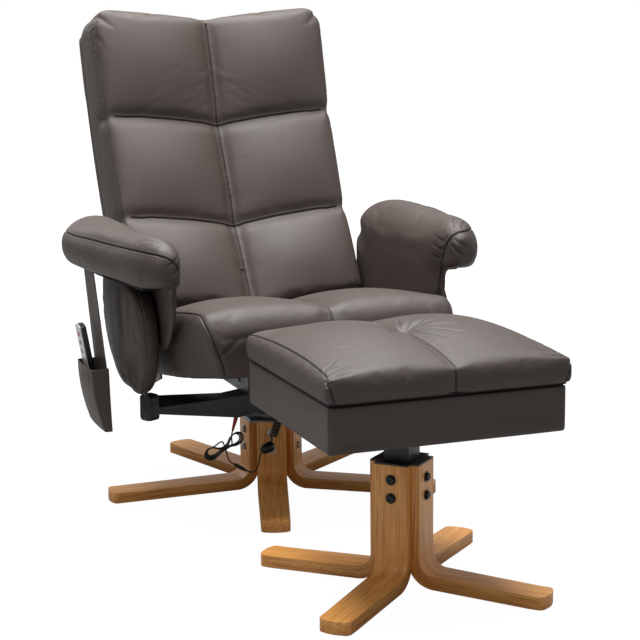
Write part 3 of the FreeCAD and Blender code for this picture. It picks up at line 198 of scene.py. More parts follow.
# %% Floor
FLOOR_SIZE, SHADOW_ENDS, WHITE_BEGINS = 30, 1.2, 2.6
NEAR_SHARE, FLOOR_GLOW = 0.87, 1.12
bpy.ops.object.select_all(action="DESELECT")
bpy.ops.mesh.primitive_plane_add(size=FLOOR_SIZE, location=(0, 0, 0))
floor = bpy.context.object
floor.name = "floor"
floor_paint, floor_tree, floor_shader = new_material("floor_paint", Roughness=0.9)
fill_sockets(floor_tree, floor_shader, {"Base Color": srgb(172, 172, 171), "Specular IOR Level": 0.1})
floor_path = add(floor_tree, "LightPath")
floor_place = add(floor_tree, "TexCoord").outputs["Object"]
floor_far = add(floor_tree, "VectorMath", {0: floor_place}, operation="LENGTH").outputs["Value"]
floor_share = scaled(floor_tree, floor_far, SHADOW_ENDS, WHITE_BEGINS, NEAR_SHARE, 1.0)
floor_seen = worked(floor_tree, "MULTIPLY", floor_path.outputs["Is Camera Ray"], floor_share)
floor_glow = add(floor_tree, "Emission", {"Color": WHITE, "Strength": FLOOR_GLOW})
floor_mix = add(floor_tree, "MixShader", {0: floor_seen, 1: floor_shader.outputs[0], 2: floor_glow.outputs[0]})
floor_tree.links.new(floor_mix.outputs[0], floor_tree.nodes["Material Output"].inputs["Surface"])
floor.data.materials.append(floor_paint)
print("floor ready")

# %% [markdown]
# ## Finishes: a grain that several finishes share
# Upholstery leather is embossed with small rounded cells, with a soft larger unevenness under them.
# The cells are a Voronoi pattern and the unevenness is noise. It is a group, because the seat, the
# pocket and the plastics use it with different sizes.

# %% Grain group
grain, g_in, g_out = new_group(
    "Embossed grain",
    [("Vector", "Vector", None), ("Cells per metre", "Float", 550.0), ("Patches per metre", "Float", 14.0)],
    [("Height", "Float"), ("Pores", "Float"), ("Patches", "Float")])
cells = add(grain, "TexVoronoi", {"Vector": g_in.outputs["Vector"], "Scale": g_in.outputs["Cells per metre"]},
            feature="DISTANCE_TO_EDGE")
domes = scaled(grain, cells.outputs["Distance"], 0.0, 0.28, 0.0, 1.0)
patches = add(grain, "TexNoise", {"Vector": g_in.outputs["Vector"], "Scale": g_in.outputs["Patches per metre"],
                                  "Detail": 4.0, "Roughness": 0.6})
total = worked(grain, "ADD", domes, worked(grain, "MULTIPLY", patches.outputs["Fac"], 0.8))
pores = worked(grain, "SUBTRACT", 1.0, domes)
fill_sockets(grain, g_out, {"Height": total, "Pores": pores, "Patches": patches.outputs["Fac"]})
print("grain group", len(grain.nodes), "nodes")


# %% [markdown]
# ## Finishes: leather
# The cover is a dark grey-brown coated leather with a low, even gloss, a little paler in soft random
# patches. Shade is painted into its colour down in the seams and folds, from an attribute that the pieces
# carry, because a seam is where the maker sewed it and not where the camera happens to look.

# %% Leather
def leather_material(name, colour, dark, pale, rough):
    material, tree, shader = new_material(name)
    place = add(tree, "TexCoord").outputs["Object"]
    cell = place_group(tree, grain, {"Vector": place, "Cells per metre": 620.0, "Patches per metre": 11.0})
    patch = scaled(tree, cell.outputs["Patches"], 0.3, 0.7, 0.0, 0.30)
    base = mixed(tree, patch, colour, pale)
    pore = scaled(tree, cell.outputs["Pores"], 0.0, 1.0, 0.0, 0.16)
    base = mixed(tree, pore, base, dark)
    # Painted shade: in the seams and folds the colour goes nearly to the dark tone, by the attribute that press()
    # writes.
    crease_shade = add(tree, "Attribute", attribute_name="crease_shade").outputs["Fac"]
    base = mixed(tree, scaled(tree, crease_shade, 0.0, 1.0, 0.0, 0.92), base, dark)
    gloss = scaled(tree, cell.outputs["Patches"], 0.3, 0.7, rough - 0.04, rough + 0.06)
    fill_sockets(tree, shader, {"Base Color": base, "Roughness": gloss, "Specular IOR Level": 0.42,
                                "Normal": bumped(tree, 0.35, 0.0003, cell.outputs["Height"])})
    return material


leather = leather_material("leather", srgb(71, 61, 56), srgb(22, 18, 16), srgb(79, 69, 64), 0.52)
print("leather ready")

# %% [markdown]
# ## Finishes: bent plywood
# The legs are honey-coloured oak on layers of veneer. Each leg carries its own lengths: along the bend,
# across it and through its thickness. So the grain runs round the bend, as it does in a real bent
# board, and the layers show only on the sawn edges.

# %% Wood group
wood, w_in, w_out = new_group(
    "Wood grain",
    [("Vector", "Vector", None), ("Pale", "Color", srgb(254, 188, 104)), ("Dark", "Color", srgb(234, 142, 60))],
    [("Color", "Color"), ("Height", "Float")])
long_way = add(wood, "Mapping", {"Vector": w_in.outputs["Vector"], "Scale": (3.2, 62.0, 34.0)})
streaks = add(wood, "TexNoise", {"Vector": long_way.outputs[0], "Scale": 1.0, "Detail": 5.0, "Roughness": 0.62,
                                 "Distortion": 0.35})
fine_way = add(wood, "Mapping", {"Vector": w_in.outputs["Vector"], "Scale": (9.0, 430.0, 300.0)})
fine = add(wood, "TexNoise", {"Vector": fine_way.outputs[0], "Scale": 1.0, "Detail": 3.0})
arch_way = add(wood, "Mapping", {"Vector": w_in.outputs["Vector"], "Scale": (1.5, 19.0, 9.0)})
arches = add(wood, "TexWave", {"Vector": arch_way.outputs[0], "Scale": 1.0, "Distortion": 5.5, "Detail": 2.0,
                               "Detail Scale": 1.3}, wave_type="BANDS", bands_direction="Y")
streak = scaled(wood, streaks.outputs["Fac"], 0.40, 0.64, 0.0, 0.6)
arch = scaled(wood, arches.outputs["Fac"], 0.55, 1.0, 0.0, 0.4)
figure = worked(wood, "MAXIMUM", streak, arch)
body_colour = mixed(wood, figure, w_in.outputs["Pale"], w_in.outputs["Dark"])
pore_share = scaled(wood, fine.outputs["Fac"], 0.50, 0.66, 0.0, 0.8)
pore_colour = mixed(wood, pore_share, body_colour, srgb(196, 112, 44))
VENEERS, VENEER = 10, 0.0022
depth_in = add(wood, "SeparateXYZ", {0: w_in.outputs["Vector"]}).outputs["Z"]
half_step = worked(wood, "ADD", worked(wood, "MULTIPLY", depth_in, 1 / VENEER), 0.5)
off_middle = worked(wood, "SUBTRACT", worked(wood, "FRACT", half_step), 0.5)
layers = scaled(wood, worked(wood, "ABSOLUTE", off_middle), 0.30, 0.48, 0.0, 1.0)
full_colour = mixed(wood, worked(wood, "MULTIPLY", layers, 0.65), pore_colour, srgb(140, 84, 38))
fill_sockets(wood, w_out, {"Color": full_colour, "Height": fine.outputs["Fac"]})

oak, oak_tree, oak_shader = new_material("oak", Coat_Weight=0.10, Coat_Roughness=0.25)
lengths = add(oak_tree, "Attribute", attribute_name="lengths").outputs["Vector"]
oak_grain = place_group(oak_tree, wood, {"Vector": lengths})
fill_sockets(oak_tree, oak_shader, {
    "Base Color": oak_grain.outputs["Color"],
    "Roughness": scaled(oak_tree, oak_grain.outputs["Height"], 0.3, 0.7, 0.32, 0.46),
    "Normal": bumped(oak_tree, 0.25, 0.0003, oak_grain.outputs["Height"])})
print("oak ready,", VENEERS, "veneers of", VENEER * 1000, "mm")


# %% [markdown]
# ## Finishes: steel, plastic and cloth
# The small parts differ in gloss and in the size of their surface: powder-coated steel is finely
# pebbled, plated bolts are brushed, moulded plastic is nearly smooth and the lining is woven.

# %% Small finishes
def coated(name, colour, worn, rough, metallic=0.0, cells=900.0, depth=0.00015):
    material, tree, shader = new_material(name)
    place = add(tree, "TexCoord").outputs["Object"]
    cell = place_group(tree, grain, {"Vector": place, "Cells per metre": cells, "Patches per metre": 22.0})
    share = scaled(tree, cell.outputs["Patches"], 0.42, 0.72, 0.0, 0.55)
    gloss = scaled(tree, cell.outputs["Patches"], 0.3, 0.7, rough - 0.06, rough + 0.08)
    fill_sockets(tree, shader, {"Base Color": mixed(tree, share, colour, worn), "Roughness": gloss,
                                "Metallic": metallic, "Normal": bumped(tree, 0.3, depth, cell.outputs["Height"])})
    return material


black_steel = coated("black_steel", srgb(34, 34, 36), srgb(48, 48, 50), 0.42)
grey_steel = coated("grey_steel", srgb(112, 114, 116), srgb(132, 134, 136), 0.34, metallic=0.75)
bright_bolt = coated("bright_bolt", srgb(176, 176, 174), srgb(196, 196, 192), 0.26, metallic=1.0, cells=1800.0)
black_bolt = coated("black_bolt", srgb(30, 31, 34), srgb(52, 53, 56), 0.30, metallic=0.4)
black_plastic = coated("black_plastic", srgb(20, 20, 22), srgb(28, 28, 30), 0.36, cells=1400.0, depth=0.00008)
white_plastic = coated("white_plastic", srgb(218, 218, 216), srgb(226, 226, 224), 0.32, cells=1400.0, depth=0.00005)
grey_plastic = coated("grey_plastic", srgb(120, 122, 126), srgb(132, 134, 138), 0.4, cells=1400.0, depth=0.00006)
red_plastic = coated("red_plastic", srgb(176, 34, 30), srgb(190, 44, 38), 0.34, cells=1400.0, depth=0.00006)
cord_black = coated("cord_black", srgb(24, 24, 25), srgb(34, 34, 35), 0.44, cells=1600.0, depth=0.00005)
thread = coated("thread", srgb(56, 50, 47), srgb(66, 60, 56), 0.62, cells=2600.0, depth=0.0001)
plain_board = coated("plain_board", srgb(178, 146, 104), srgb(150, 118, 78), 0.62, cells=240.0)
print("small finishes ready")


# %% Woven cloth
def woven_material(name, colour, dark, threads):
    material, tree, shader = new_material(name, Roughness=0.9)
    place = add(tree, "TexCoord").outputs["Object"]
    warp, weft = (add(tree, "TexWave", {"Vector": place, "Scale": threads, "Distortion": 0.4}, bands_direction=way)
                  for way in "XY")
    weave = worked(tree, "MULTIPLY", warp.outputs["Fac"], weft.outputs["Fac"])
    fill_sockets(tree, shader, {"Base Color": mixed(tree, weave, dark, colour),
                                "Normal": bumped(tree, 0.5, 0.0003, weave)})
    return material


black_cloth = woven_material("black_cloth", srgb(34, 34, 35), srgb(18, 18, 19), 260.0)
print("cloth ready")

# %% [markdown]
# ## Cords
# A thin black cord leaves the red-tipped plug under the crossbar, is tied up in a small bow of loops,
# and goes on to an inline connector. From there a second short cord loops up into the rounded plug of
# a curly cord, which climbs to the underside of the seat. A limp cord is one smooth spline, so each is a
# NURBS curve whose control points are the corners of its route. Its thickness is the radius of its points,
# because Blender counts that radius into the piece's box.

# %% Cord helper
CORD = 0.003
CORD_HALF = CORD / 2


def cord_piece(name, route, half, material, body="seat_frame", steps=6, roundness=3):
    curve = bpy.data.curves.new(name, "CURVE")
    curve.dimensions = "3D"
    curve.resolution_u = steps
    curve.bevel_depth = 1.0
    curve.bevel_resolution = roundness
    curve.use_fill_caps = True
    spline = curve.splines.new("NURBS")
    spline.points.add(len(route) - 1)
    for point, place in zip(spline.points, route):
        point.co = (*place, 1.0)
        point.radius = half
    spline.order_u = 3
    spline.use_endpoint_u = True
    curve.materials.append(material)
    piece = bpy.data.objects.new(name, curve)
    scene.collection.objects.link(piece)
    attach(piece, body)
    print(name, "points", len(route))
    return piece


# %% Thin cord: plug, hank of loops, connector
plug_foot = Vector((-0.1095, -0.0720, 0.1420))
plug_top = Vector((-0.0930, -0.0620, 0.1840))
plug_way = (plug_foot - plug_top).normalized()
knot = Vector((-0.1315, -0.0900, 0.1107))
HANK_TILT, HANK_DROOP, HANK_LEAVES = (math.radians(a) for a in (26, 10, 70))
HANK_LOOPS, HANK_STEP, HANK_WAIST = 4, 0.0039, 0.0022
HANK_REACH, HANK_SHRINK, HANK_LOBE, HANK_NARROW = 0.046, 0.003, 0.0125, 0.0014
hank_along = Vector((math.cos(HANK_TILT), 0, math.sin(HANK_TILT)))
hank_across = Vector((math.sin(HANK_TILT), 0, -math.cos(HANK_TILT)))
hank_exit = Vector((math.cos(HANK_LEAVES), 0, -math.sin(HANK_LEAVES)))
backwards = Vector((0, 1, 0))
hank_start = knot + hank_across * HANK_WAIST + hank_along * CORD


def two_corners(start, way_in, end, way_out):
    """The corners of a smooth passage from one point and direction to another."""
    chord = end - start
    spread = 2 * (1 - way_in.dot(way_out))
    along = chord.dot(way_in + way_out)
    leg = (math.sqrt(along ** 2 + spread * chord.dot(chord)) - along) / spread
    return [start + way_in * leg, end - way_out * leg]


hank_points = []
at, way = knot + hank_across * HANK_WAIST, -hank_along
for half in range(2 * HANK_LOOPS - 1):
    to_left = half % 2 == 0
    loop = half // 2
    arm = hank_along * math.cos(HANK_DROOP) * (-1 if to_left else 1) - hank_across * math.sin(HANK_DROOP)
    side = Vector((arm.z, 0, -arm.x))
    side = side if side.dot(at - knot) > 0 else -side
    depth = backwards * HANK_STEP * loop
    lobe = HANK_LOBE - HANK_NARROW * loop
    centre = knot + depth + arm * (HANK_REACH - HANK_SHRINK * loop - lobe)
    hank_points += two_corners(at, way, centre + side * lobe, arm)
    for degrees in (67.5, 22.5, -22.5, -67.5):
        turn = math.radians(degrees)
        wide = lobe / math.cos(math.radians(22.5))
        hank_points.append(centre + (arm * math.cos(turn) + side * math.sin(turn)) * wide)
    climb = depth if to_left else depth + backwards * HANK_STEP
    at = knot + climb - hank_across * HANK_WAIST * (1 if to_left else -1)
    way = hank_along if to_left else -hank_along
    if half == 2 * HANK_LOOPS - 2:
        at, way = at + hank_along * CORD - hank_across * HANK_WAIST, hank_exit
    hank_points += two_corners(centre - side * lobe, -arm, at, way)
hank_end = at + way * CORD

connector_start = Vector((-0.1139, -0.0900, 0.0754))
connector_end = Vector((-0.0869, -0.0900, 0.0584))
connector_way = (connector_end - connector_start).normalized()
thin_route = [plug_foot, plug_foot + plug_way * 0.013, hank_start + hank_along * 0.014, hank_start]
thin_route += hank_points
thin_route += [hank_end, hank_end + hank_exit * 0.010, Vector((-0.1256, -0.0865, 0.0874)),
               connector_start - connector_way * 0.009, connector_start]
thin_cord = cord_piece("thin_cord", thin_route, CORD_HALF, cord_black)
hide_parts("power_lead", "cord_hank", "lead_drop")

# %% [markdown]
# The curly cord is a helix about a straight line, with its ends led in to the axis. The rounded plug is
# at its lower end and the grommet in the backing cloth at its upper one.

# %% Loop below the curly cord, and the curly cord
CURL_WIRE, CURL_HALF, CURL_PITCH, CURL_TURNS = 0.0022, 0.009, 0.0052, 26
PLUG_LONG, PLUG_TAIL, LEAD_SHARE, POINTS_A_TURN = 0.0115, 0.011, 0.55, 12
curl_foot = Vector((-0.034, -0.100, 0.116))
curl_head = Vector((0.020, -0.11224, 0.27318))
boot_near = curl_foot - (curl_head - curl_foot).normalized() * PLUG_LONG * 0.9
boot_far = boot_near + Vector((-0.95, 0, -0.3)).normalized() * PLUG_TAIL
boot_port = boot_far + Vector((-0.8, 0, -0.6)) * PLUG_LONG * 0.7
loop_route = [connector_end, connector_end + connector_way * 0.0105, Vector((-0.0686, -0.0932, 0.0560)),
              Vector((-0.0636, -0.0960, 0.0650)), Vector((-0.0608, -0.0985, 0.0755)),
              Vector((-0.0600, -0.0993, 0.0870)), boot_port]
lead_loop = cord_piece("lead_loop_cord", loop_route, CORD_HALF, cord_black)
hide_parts("lead_loop")

axis = curl_head - curl_foot
reach = axis.length
axis.normalize()
curl_side = axis.cross(backwards).normalized()
curl_other = axis.cross(curl_side)
lead_in = (reach - CURL_TURNS * CURL_PITCH) / 2
mean = (CURL_HALF - CURL_WIRE) / math.cos(math.pi / POINTS_A_TURN)
curl_route = [curl_foot, curl_foot + axis * lead_in * LEAD_SHARE]
for k in range(CURL_TURNS * POINTS_A_TURN + 1):
    turn = 2 * math.pi * k / POINTS_A_TURN
    height = lead_in + CURL_PITCH * k / POINTS_A_TURN
    curl_route.append(curl_foot + axis * height + (curl_side * math.cos(turn) + curl_other * math.sin(turn)) * mean)
curl_route += [curl_head - axis * lead_in * LEAD_SHARE, curl_head]
curl = cord_piece("curl", curl_route, CURL_WIRE, cord_black, steps=2, roundness=2)
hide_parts("curly_cord")


# %% [markdown]
# ## Tools for padded pieces
# A cushion starts as a copy of its solids, cut into even small faces. Cloth under pressure then swells it
# between its seams, which are held. After that the seams are pressed in, with finer faces near them, and
# puckers are drawn where the leather is gathered. Cloth gives the soft tension that drawn bulges lack.

# %% Mesh helpers
SAME_POINT, OVERLAP = 0.00002, 0.012


def only(piece):
    bpy.ops.object.select_all(action="DESELECT")
    piece.select_set(True)
    bpy.context.view_layer.objects.active = piece


def edit_all(piece):
    """Edit mode, with all of one piece selected."""
    only(piece)
    bpy.ops.object.mode_set(mode="EDIT")
    bpy.ops.mesh.select_all(action="SELECT")


def leave_edit():
    bpy.ops.object.mode_set(mode="OBJECT")


def apply_modifier(piece, modifier):
    only(piece)
    bpy.ops.object.modifier_apply(modifier=modifier.name)


def places(piece):
    co = np.empty(len(piece.data.vertices) * 3)
    piece.data.vertices.foreach_get("co", co)
    return co.reshape(-1, 3)


def put(piece, co):
    piece.data.vertices.foreach_set("co", co.ravel())
    piece.data.update()


def normals(piece):
    out = np.empty(len(piece.data.vertices) * 3)
    piece.data.vertex_normals.foreach_get("vector", out)
    return out.reshape(-1, 3)


def merged_copy(node, name):
    """A copy of a solid's mesh as a new piece, with its loose triangles joined."""
    piece = bpy.data.objects.new(name, solids[node].data.copy())
    scene.collection.objects.link(piece)
    piece.data.materials.clear()
    edit_all(piece)
    bpy.ops.mesh.remove_doubles(threshold=SAME_POINT)
    leave_edit()
    if piece.data.has_custom_normals:
        bpy.ops.mesh.customdata_custom_splitnormals_clear()
    return piece


def joined_copy(nodes, name):
    """Copies of several solids in one piece, the later ones drawn up into the first."""
    first = merged_copy(nodes[0], name)
    for node in nodes[1:]:
        other = merged_copy(node, "other")
        co = places(other)
        co[co[:, 2] > co[:, 2].max() - 0.001, 2] += OVERLAP
        put(other, co)
        only(first)
        other.select_set(True)
        bpy.ops.object.join()
    return first


def even_faces(piece, size, rounds):
    """Small even faces all over, with the corners of the solid eased."""
    only(piece)
    piece.data.remesh_voxel_size = size
    piece.data.use_remesh_fix_poles = False
    bpy.ops.object.voxel_remesh()
    edit_all(piece)
    bpy.ops.mesh.vertices_smooth(factor=0.5, repeat=rounds)
    leave_edit()


def dress(piece, paint, body, nodes):
    """What each finished piece gets: its finish and its body, and the solids that it stands for are hidden."""
    piece.data.materials.append(paint)
    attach(piece, body)
    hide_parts(*nodes)


print("mesh helpers ready")


# %% Lines on a surface
SEAM_STEP, BELOW = 0.004, 0.0015


def smooth_line(points, step=SEAM_STEP):
    """Points close together on a smooth line through a few given ones."""
    pts = [Vector(p) for p in points]
    pts = [2 * pts[0] - pts[1]] + pts + [2 * pts[-1] - pts[-2]]
    out = []
    for a, b, c, d in zip(pts, pts[1:], pts[2:], pts[3:]):
        count = max(1, round((c - b).length / step))
        for k in range(count):
            t = k / count
            out.append(((b * 2) + (c - a) * t + (a * 2 - b * 5 + c * 4 - d) * t ** 2
                        + (b * 3 - a - c * 3 + d) * t ** 3) / 2)
    return out + [pts[-2]]


def surface_of(piece):
    return BVHTree.FromObject(piece, bpy.context.evaluated_depsgraph_get())


def laid_on(surface, line):
    return [surface.find_nearest(p)[0] for p in line]


def let_in(surface, line, depth):
    """A line that goes in with the surface. It stops a little below, so that its nearest place is the valley."""
    outs = np.array([surface.find_nearest(p)[1] for p in line])
    for _ in range(8):
        outs[1:-1] = (outs[:-2] + 2 * outs[1:-1] + outs[2:]) / 4
    return [p - Vector(out).normalized() * (depth + BELOW) for p, out in zip(line, outs)]


def nearness(co, line, reach):
    """For each vertex its distance to a line and how far along the line that is."""
    line = np.array([tuple(p) for p in line])
    best = np.full(len(co), 9.0)
    share = np.zeros(len(co))
    inside = np.all((co > line.min(0) - reach) & (co < line.max(0) + reach), axis=1)
    index = np.flatnonzero(inside)
    near = co[index]
    steps = np.linalg.norm(np.diff(line, axis=0), axis=1)
    run = np.concatenate([[0], np.cumsum(steps)])
    close, where = np.full(len(near), 9.0), np.zeros(len(near))
    for k, (a, b) in enumerate(zip(line, line[1:])):
        if steps[k] < 1e-7:
            continue
        t = np.clip(((near - a) @ (b - a)) / steps[k] ** 2, 0, 1)
        d = np.linalg.norm(near - a - t[:, None] * (b - a), axis=1)
        nearer = d < close
        close[nearer] = d[nearer]
        where[nearer] = (run[k] + t[nearer] * steps[k]) / run[-1]
    best[index], share[index] = close, where
    return best, share


def gathers(surface, line, start, end, count, reach, depth, seed):
    """Short puckers that leave a seam at right angles on both sides, between two shares of its length."""
    chance = np.random.default_rng(seed)
    folds = []
    for k in range(count):
        share = start + (end - start) * (k + 0.2 + 0.6 * chance.random()) / count
        i = min(len(line) - 2, max(1, int(share * (len(line) - 1))))
        here, out = surface.find_nearest(line[i])[:2]
        along = (line[i + 1] - line[i - 1]).normalized()
        side = out.cross(along).normalized() * (1 if k % 2 else -1)
        long = reach * (0.5 + chance.random())
        drift = along * long * (chance.random() - 0.5) * 0.7
        folds.append(([here, here + side * long * 0.5 + drift * 0.4, here + side * long + drift],
                      depth * (0.5 + chance.random()), 0.0016 + 0.0012 * chance.random()))
    return folds


print("line helpers ready")


# %% Pressure, seams and folds
CLOTH_STEPS, SLACK = 16, 0.002
# The last two numbers shape the painted shade in seams and folds: its width share, and the depth at which it is
# full.
RIDGE, CREASE_SHADE_WIDE, CREASE_SHADE_FULL = 0.12, 0.62, 0.0022


def swell(piece, held, pressure, cap):
    """Cloth under pressure, with some vertices held, then no vertex further from its start than cap."""
    group = piece.vertex_groups.new(name="held")
    group.add([int(i) for i in np.flatnonzero(held)], 1.0, "REPLACE")
    before = places(piece)
    cloth = piece.modifiers.new("Cloth", "CLOTH")
    cloth.settings.vertex_group_mass = "held"
    cloth.settings.use_pressure = True
    cloth.settings.uniform_pressure_force = pressure
    cloth.settings.effector_weights.gravity = 0
    cloth.settings.shrink_min = -SLACK
    cloth.settings.bending_stiffness = 0.3
    cloth.collision_settings.use_collision = False
    cloth.point_cache.frame_end = CLOTH_STEPS
    for step in range(1, CLOTH_STEPS + 1):
        scene.frame_set(step)
    apply_modifier(piece, cloth)
    scene.frame_set(1)
    move = places(piece) - before
    far = np.linalg.norm(move, axis=1, keepdims=True) + 1e-9
    put(piece, before + move / far * cap * np.tanh(far / cap))
    piece.vertex_groups.clear()
    print(piece.name, "swelled by up to", round(float(far.max()) * 1000, 1), "mm")


def finer(piece, lines, reach):
    """Faces near the seams are halved once more, so that a seam is crisp."""
    co = places(piece)
    near = np.zeros(len(co), bool)
    for line in lines:
        near |= nearness(co, line, reach)[0] < reach
    edit_all(piece)
    bpy.ops.mesh.select_mode(type="FACE")
    bpy.ops.mesh.select_all(action="DESELECT")
    leave_edit()
    flags = np.array([near[list(p.vertices)].any() for p in piece.data.polygons])
    piece.data.polygons.foreach_set("select", flags)
    bpy.ops.object.mode_set(mode="EDIT")
    bpy.ops.mesh.subdivide(number_cuts=1, smoothness=0.0)
    leave_edit()


def press(piece, folds):
    """Each fold is (line, depth, width, kind): the surface goes in along it, and stands up beside it. A mask of
    painted shade along seams, folds and puckers is stored for the leather.
    """
    co, out = places(piece), normals(piece)
    lift = np.zeros(len(co))
    crease_shade_mask = np.zeros(len(co))
    for line, depth, width, kind in folds:
        d, share = nearness(co, line, 5 * width)
        fade = 1.0
        if kind == "pucker":
            fade = np.clip(1 - share, 0, 1) ** 0.7
        if kind == "fold":
            fade = np.sqrt(np.clip(np.sin(np.pi * np.clip(share, 0, 1)), 0, 1))
        valley = np.exp(-(d / width) ** 2)
        ridge = np.exp(-((d - 2.1 * width) / (1.1 * width)) ** 2)
        lift += depth * fade * ((0.0 if kind == "dip" else RIDGE) * ridge - valley)
        # Painted shade: a mask beside each seam, fold and pucker, which darkens the leather there.
        if depth > 0 and kind != "dip":
            crease_shade_mask = np.maximum(crease_shade_mask, np.exp(-(d / (CREASE_SHADE_WIDE * width)) ** 2) * fade * min(1.0, depth / CREASE_SHADE_FULL))
    put(piece, co + out * lift[:, None])
    known = piece.data.attributes.get("crease_shade")
    if known is None:
        known = piece.data.attributes.new("crease_shade", "FLOAT", "POINT")
    known.data.foreach_set("value", crease_shade_mask.astype(np.float32))


print("pad helpers ready")

# %% [markdown]
# The seams that are meant to be seen get rows of stitches beside them: one row on most of them, and a row on each
# side on the arms. One stitch is a six-sided bead with pointed ends. It is made once, and its points are repeated
# along the row in one mesh.

# %% Stitches
bpy.ops.object.select_all(action="DESELECT")
bpy.ops.mesh.primitive_cylinder_add(vertices=6, radius=1, depth=1, end_fill_type="TRIFAN")
bead = bpy.context.object
bead_mesh = bead.data.copy()
bpy.data.objects.remove(bead)
bead_points = np.array([tuple(v.co) for v in bead_mesh.vertices])
bead_points[np.linalg.norm(bead_points[:, :2], axis=1) < 0.5] *= (1, 1, 1.45)
bead_faces = [tuple(p.vertices) for p in bead_mesh.polygons]
STITCH, STITCH_GAP, STITCH_HALF = 0.0030, 0.0044, 0.00045


def stitch_rows(name, surface, line, offsets, body):
    """Rows of stitches beside a line that lies on a surface."""
    points, faces = [], []
    line = smooth_line(line[::3] + ([line[-1]] if (len(line) - 1) % 3 else []), STITCH_GAP)
    for offset in offsets:
        for k, p in enumerate(line):
            way = (line[min(k + 1, len(line) - 1)] - line[max(k - 1, 0)]).normalized()
            out = surface.find_nearest(p)[1]
            place, out, _, _ = surface.find_nearest(p + out.cross(way).normalized() * offset)
            flat_way = (way - out * way.dot(out)).normalized()
            side_way = out.cross(flat_way)
            start = len(points)
            for x, y, z in bead_points:
                points.append(place + side_way * x * STITCH_HALF + out * (y * STITCH_HALF + 0.0001)
                              + flat_way * z * STITCH * 0.69)
            faces += [tuple(start + i for i in f) for f in bead_faces]
    mesh = bpy.data.meshes.new(name)
    mesh.from_pydata([tuple(p) for p in points], [], faces)
    mesh.materials.append(thread)
    piece = bpy.data.objects.new(name, mesh)
    scene.collection.objects.link(piece)
    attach(piece, body)


print("stitch bead", len(bead_faces), "faces")


# %% Put a pad together
FINE_FOLD, FINE_REACH, FINER_REACH = 0.004, 0.008, 0.0045


def padded_piece(nodes, name, body, size, seams=(), dips=(), rows=(), held=None, pressure=3.0, cap=0.01,
                 folds=(), puckers=(), shape=None, rounds=4, groove=(0.0024, 0.0017)):
    """From solids to cushion. Seams are lines of points, and held picks the vertices that don't swell."""
    piece = joined_copy(nodes, name)
    even_faces(piece, size, rounds)
    if shape:
        put(piece, shape(places(piece)))
    surface = surface_of(piece)
    lines = [laid_on(surface, smooth_line(seam)) for seam in seams]
    co = places(piece)
    fixed = np.zeros(len(co), bool) if held is None else held(co)
    for line in lines:
        fixed |= nearness(co, line, 0.02)[0] < size * 0.9
    if pressure > 0:
        swell(piece, fixed, pressure, cap)
    divide = piece.modifiers.new("Subdivision", "SUBSURF")
    divide.levels = divide.render_levels = 1
    apply_modifier(piece, divide)
    surface = surface_of(piece)
    lines = [laid_on(surface, line) for line in lines]
    drawn = [(laid_on(surface, smooth_line(line)), depth, width, "fold") for line, depth, width in folds]
    for which, *pattern in puckers:
        drawn += [(laid_on(surface, smooth_line(line)), depth, width, "pucker")
                  for line, depth, width in gathers(surface, lines[which], *pattern)]
    press(piece, [(lines[which], depth, width, "dip") for which, depth, width in dips])
    for which, depth, width in dips:
        lines[which] = let_in(surface, lines[which], depth)
    surface = surface_of(piece)
    lines = [laid_on(surface, line) for line in lines]
    fine_folds = [line for line, depth, width, kind in drawn if width < FINE_FOLD]
    if lines or fine_folds:
        finer(piece, lines + fine_folds, FINE_REACH)
        finer(piece, lines, FINER_REACH)
    press(piece, [(line, *groove, "seam") for line in lines] + drawn)
    piece.data.shade_smooth()
    surface = surface_of(piece)
    dress(piece, leather, body, nodes)
    for which, offsets in rows:
        stitch_rows("%s_thread_%d" % (name, which + 1), surface, lines[which], offsets, body)
    print(name, "faces", len(piece.data.polygons))


# %% [markdown]
# ## Back cushion
# The back is six pillows sewn together: a seam up the middle and two across it, which rise towards the
# sides. A gusset joins the face to the rear, with a seam where they meet, and the upper corners are round.

# %% Places on the back
BACK_Y, BACK_Z, BACK_VALLEY, BACK_SKEW = -1.092, 1.345, 1.550, 0.075
BACK_FOOT, BACK_SEAM_LOW, BACK_SEAM_HIGH, BACK_HEAD = 38.9, 31.5, 22.5, 13.7
BACK_TOP, BACK_CORNER, BACK_HALF = 0.014, 0.050, 0.278
FOOT_FROM, FOOT_DROP, FOOT_RADIUS, FOOT_FADE = 36.5, 0.011, 1.600, 0.030
BACK_STEPS = 16


def back_at(x, radius, degrees, lift=0.0):
    turn = math.radians(degrees)
    rise = abs(x) * BACK_SKEW + lift
    return Vector((x, BACK_Y + math.cos(turn) * radius + math.sin(turn) * rise,
                   BACK_Z - math.sin(turn) * radius + math.cos(turn) * rise))


def back_half(degrees):
    return 0.266 + 0.012 * (BACK_FOOT - degrees) / (BACK_FOOT - BACK_HEAD)


def round_back(co):
    """The two upper corners are turned from square to round, seen square to the back's face."""
    co = np.array(co, float)
    radius = np.hypot(co[:, 1] - BACK_Y, co[:, 2] - BACK_Z)
    angle = np.degrees(np.arctan2(BACK_Z - co[:, 2], co[:, 1] - BACK_Y))
    over = radius * np.radians(BACK_HEAD - angle) - np.abs(co[:, 0]) * BACK_SKEW - BACK_TOP
    u = np.abs(co[:, 0]) - (BACK_HALF - BACK_CORNER)
    w = over + BACK_CORNER
    corner = (u > 0) & (w > 0)
    size = np.where(corner, np.maximum(u, w) / np.maximum(np.hypot(u, w), 1e-6), 1.0)
    new_u, new_w = u * size, w * size
    x = np.sign(co[:, 0]) * (np.abs(co[:, 0]) + np.where(corner, new_u - u, 0))
    turn = np.radians(angle)
    drop = np.where(corner, new_w - w, 0)
    return np.stack([x, co[:, 1] + np.sin(turn) * drop, co[:, 2] + np.cos(turn) * drop], axis=1)


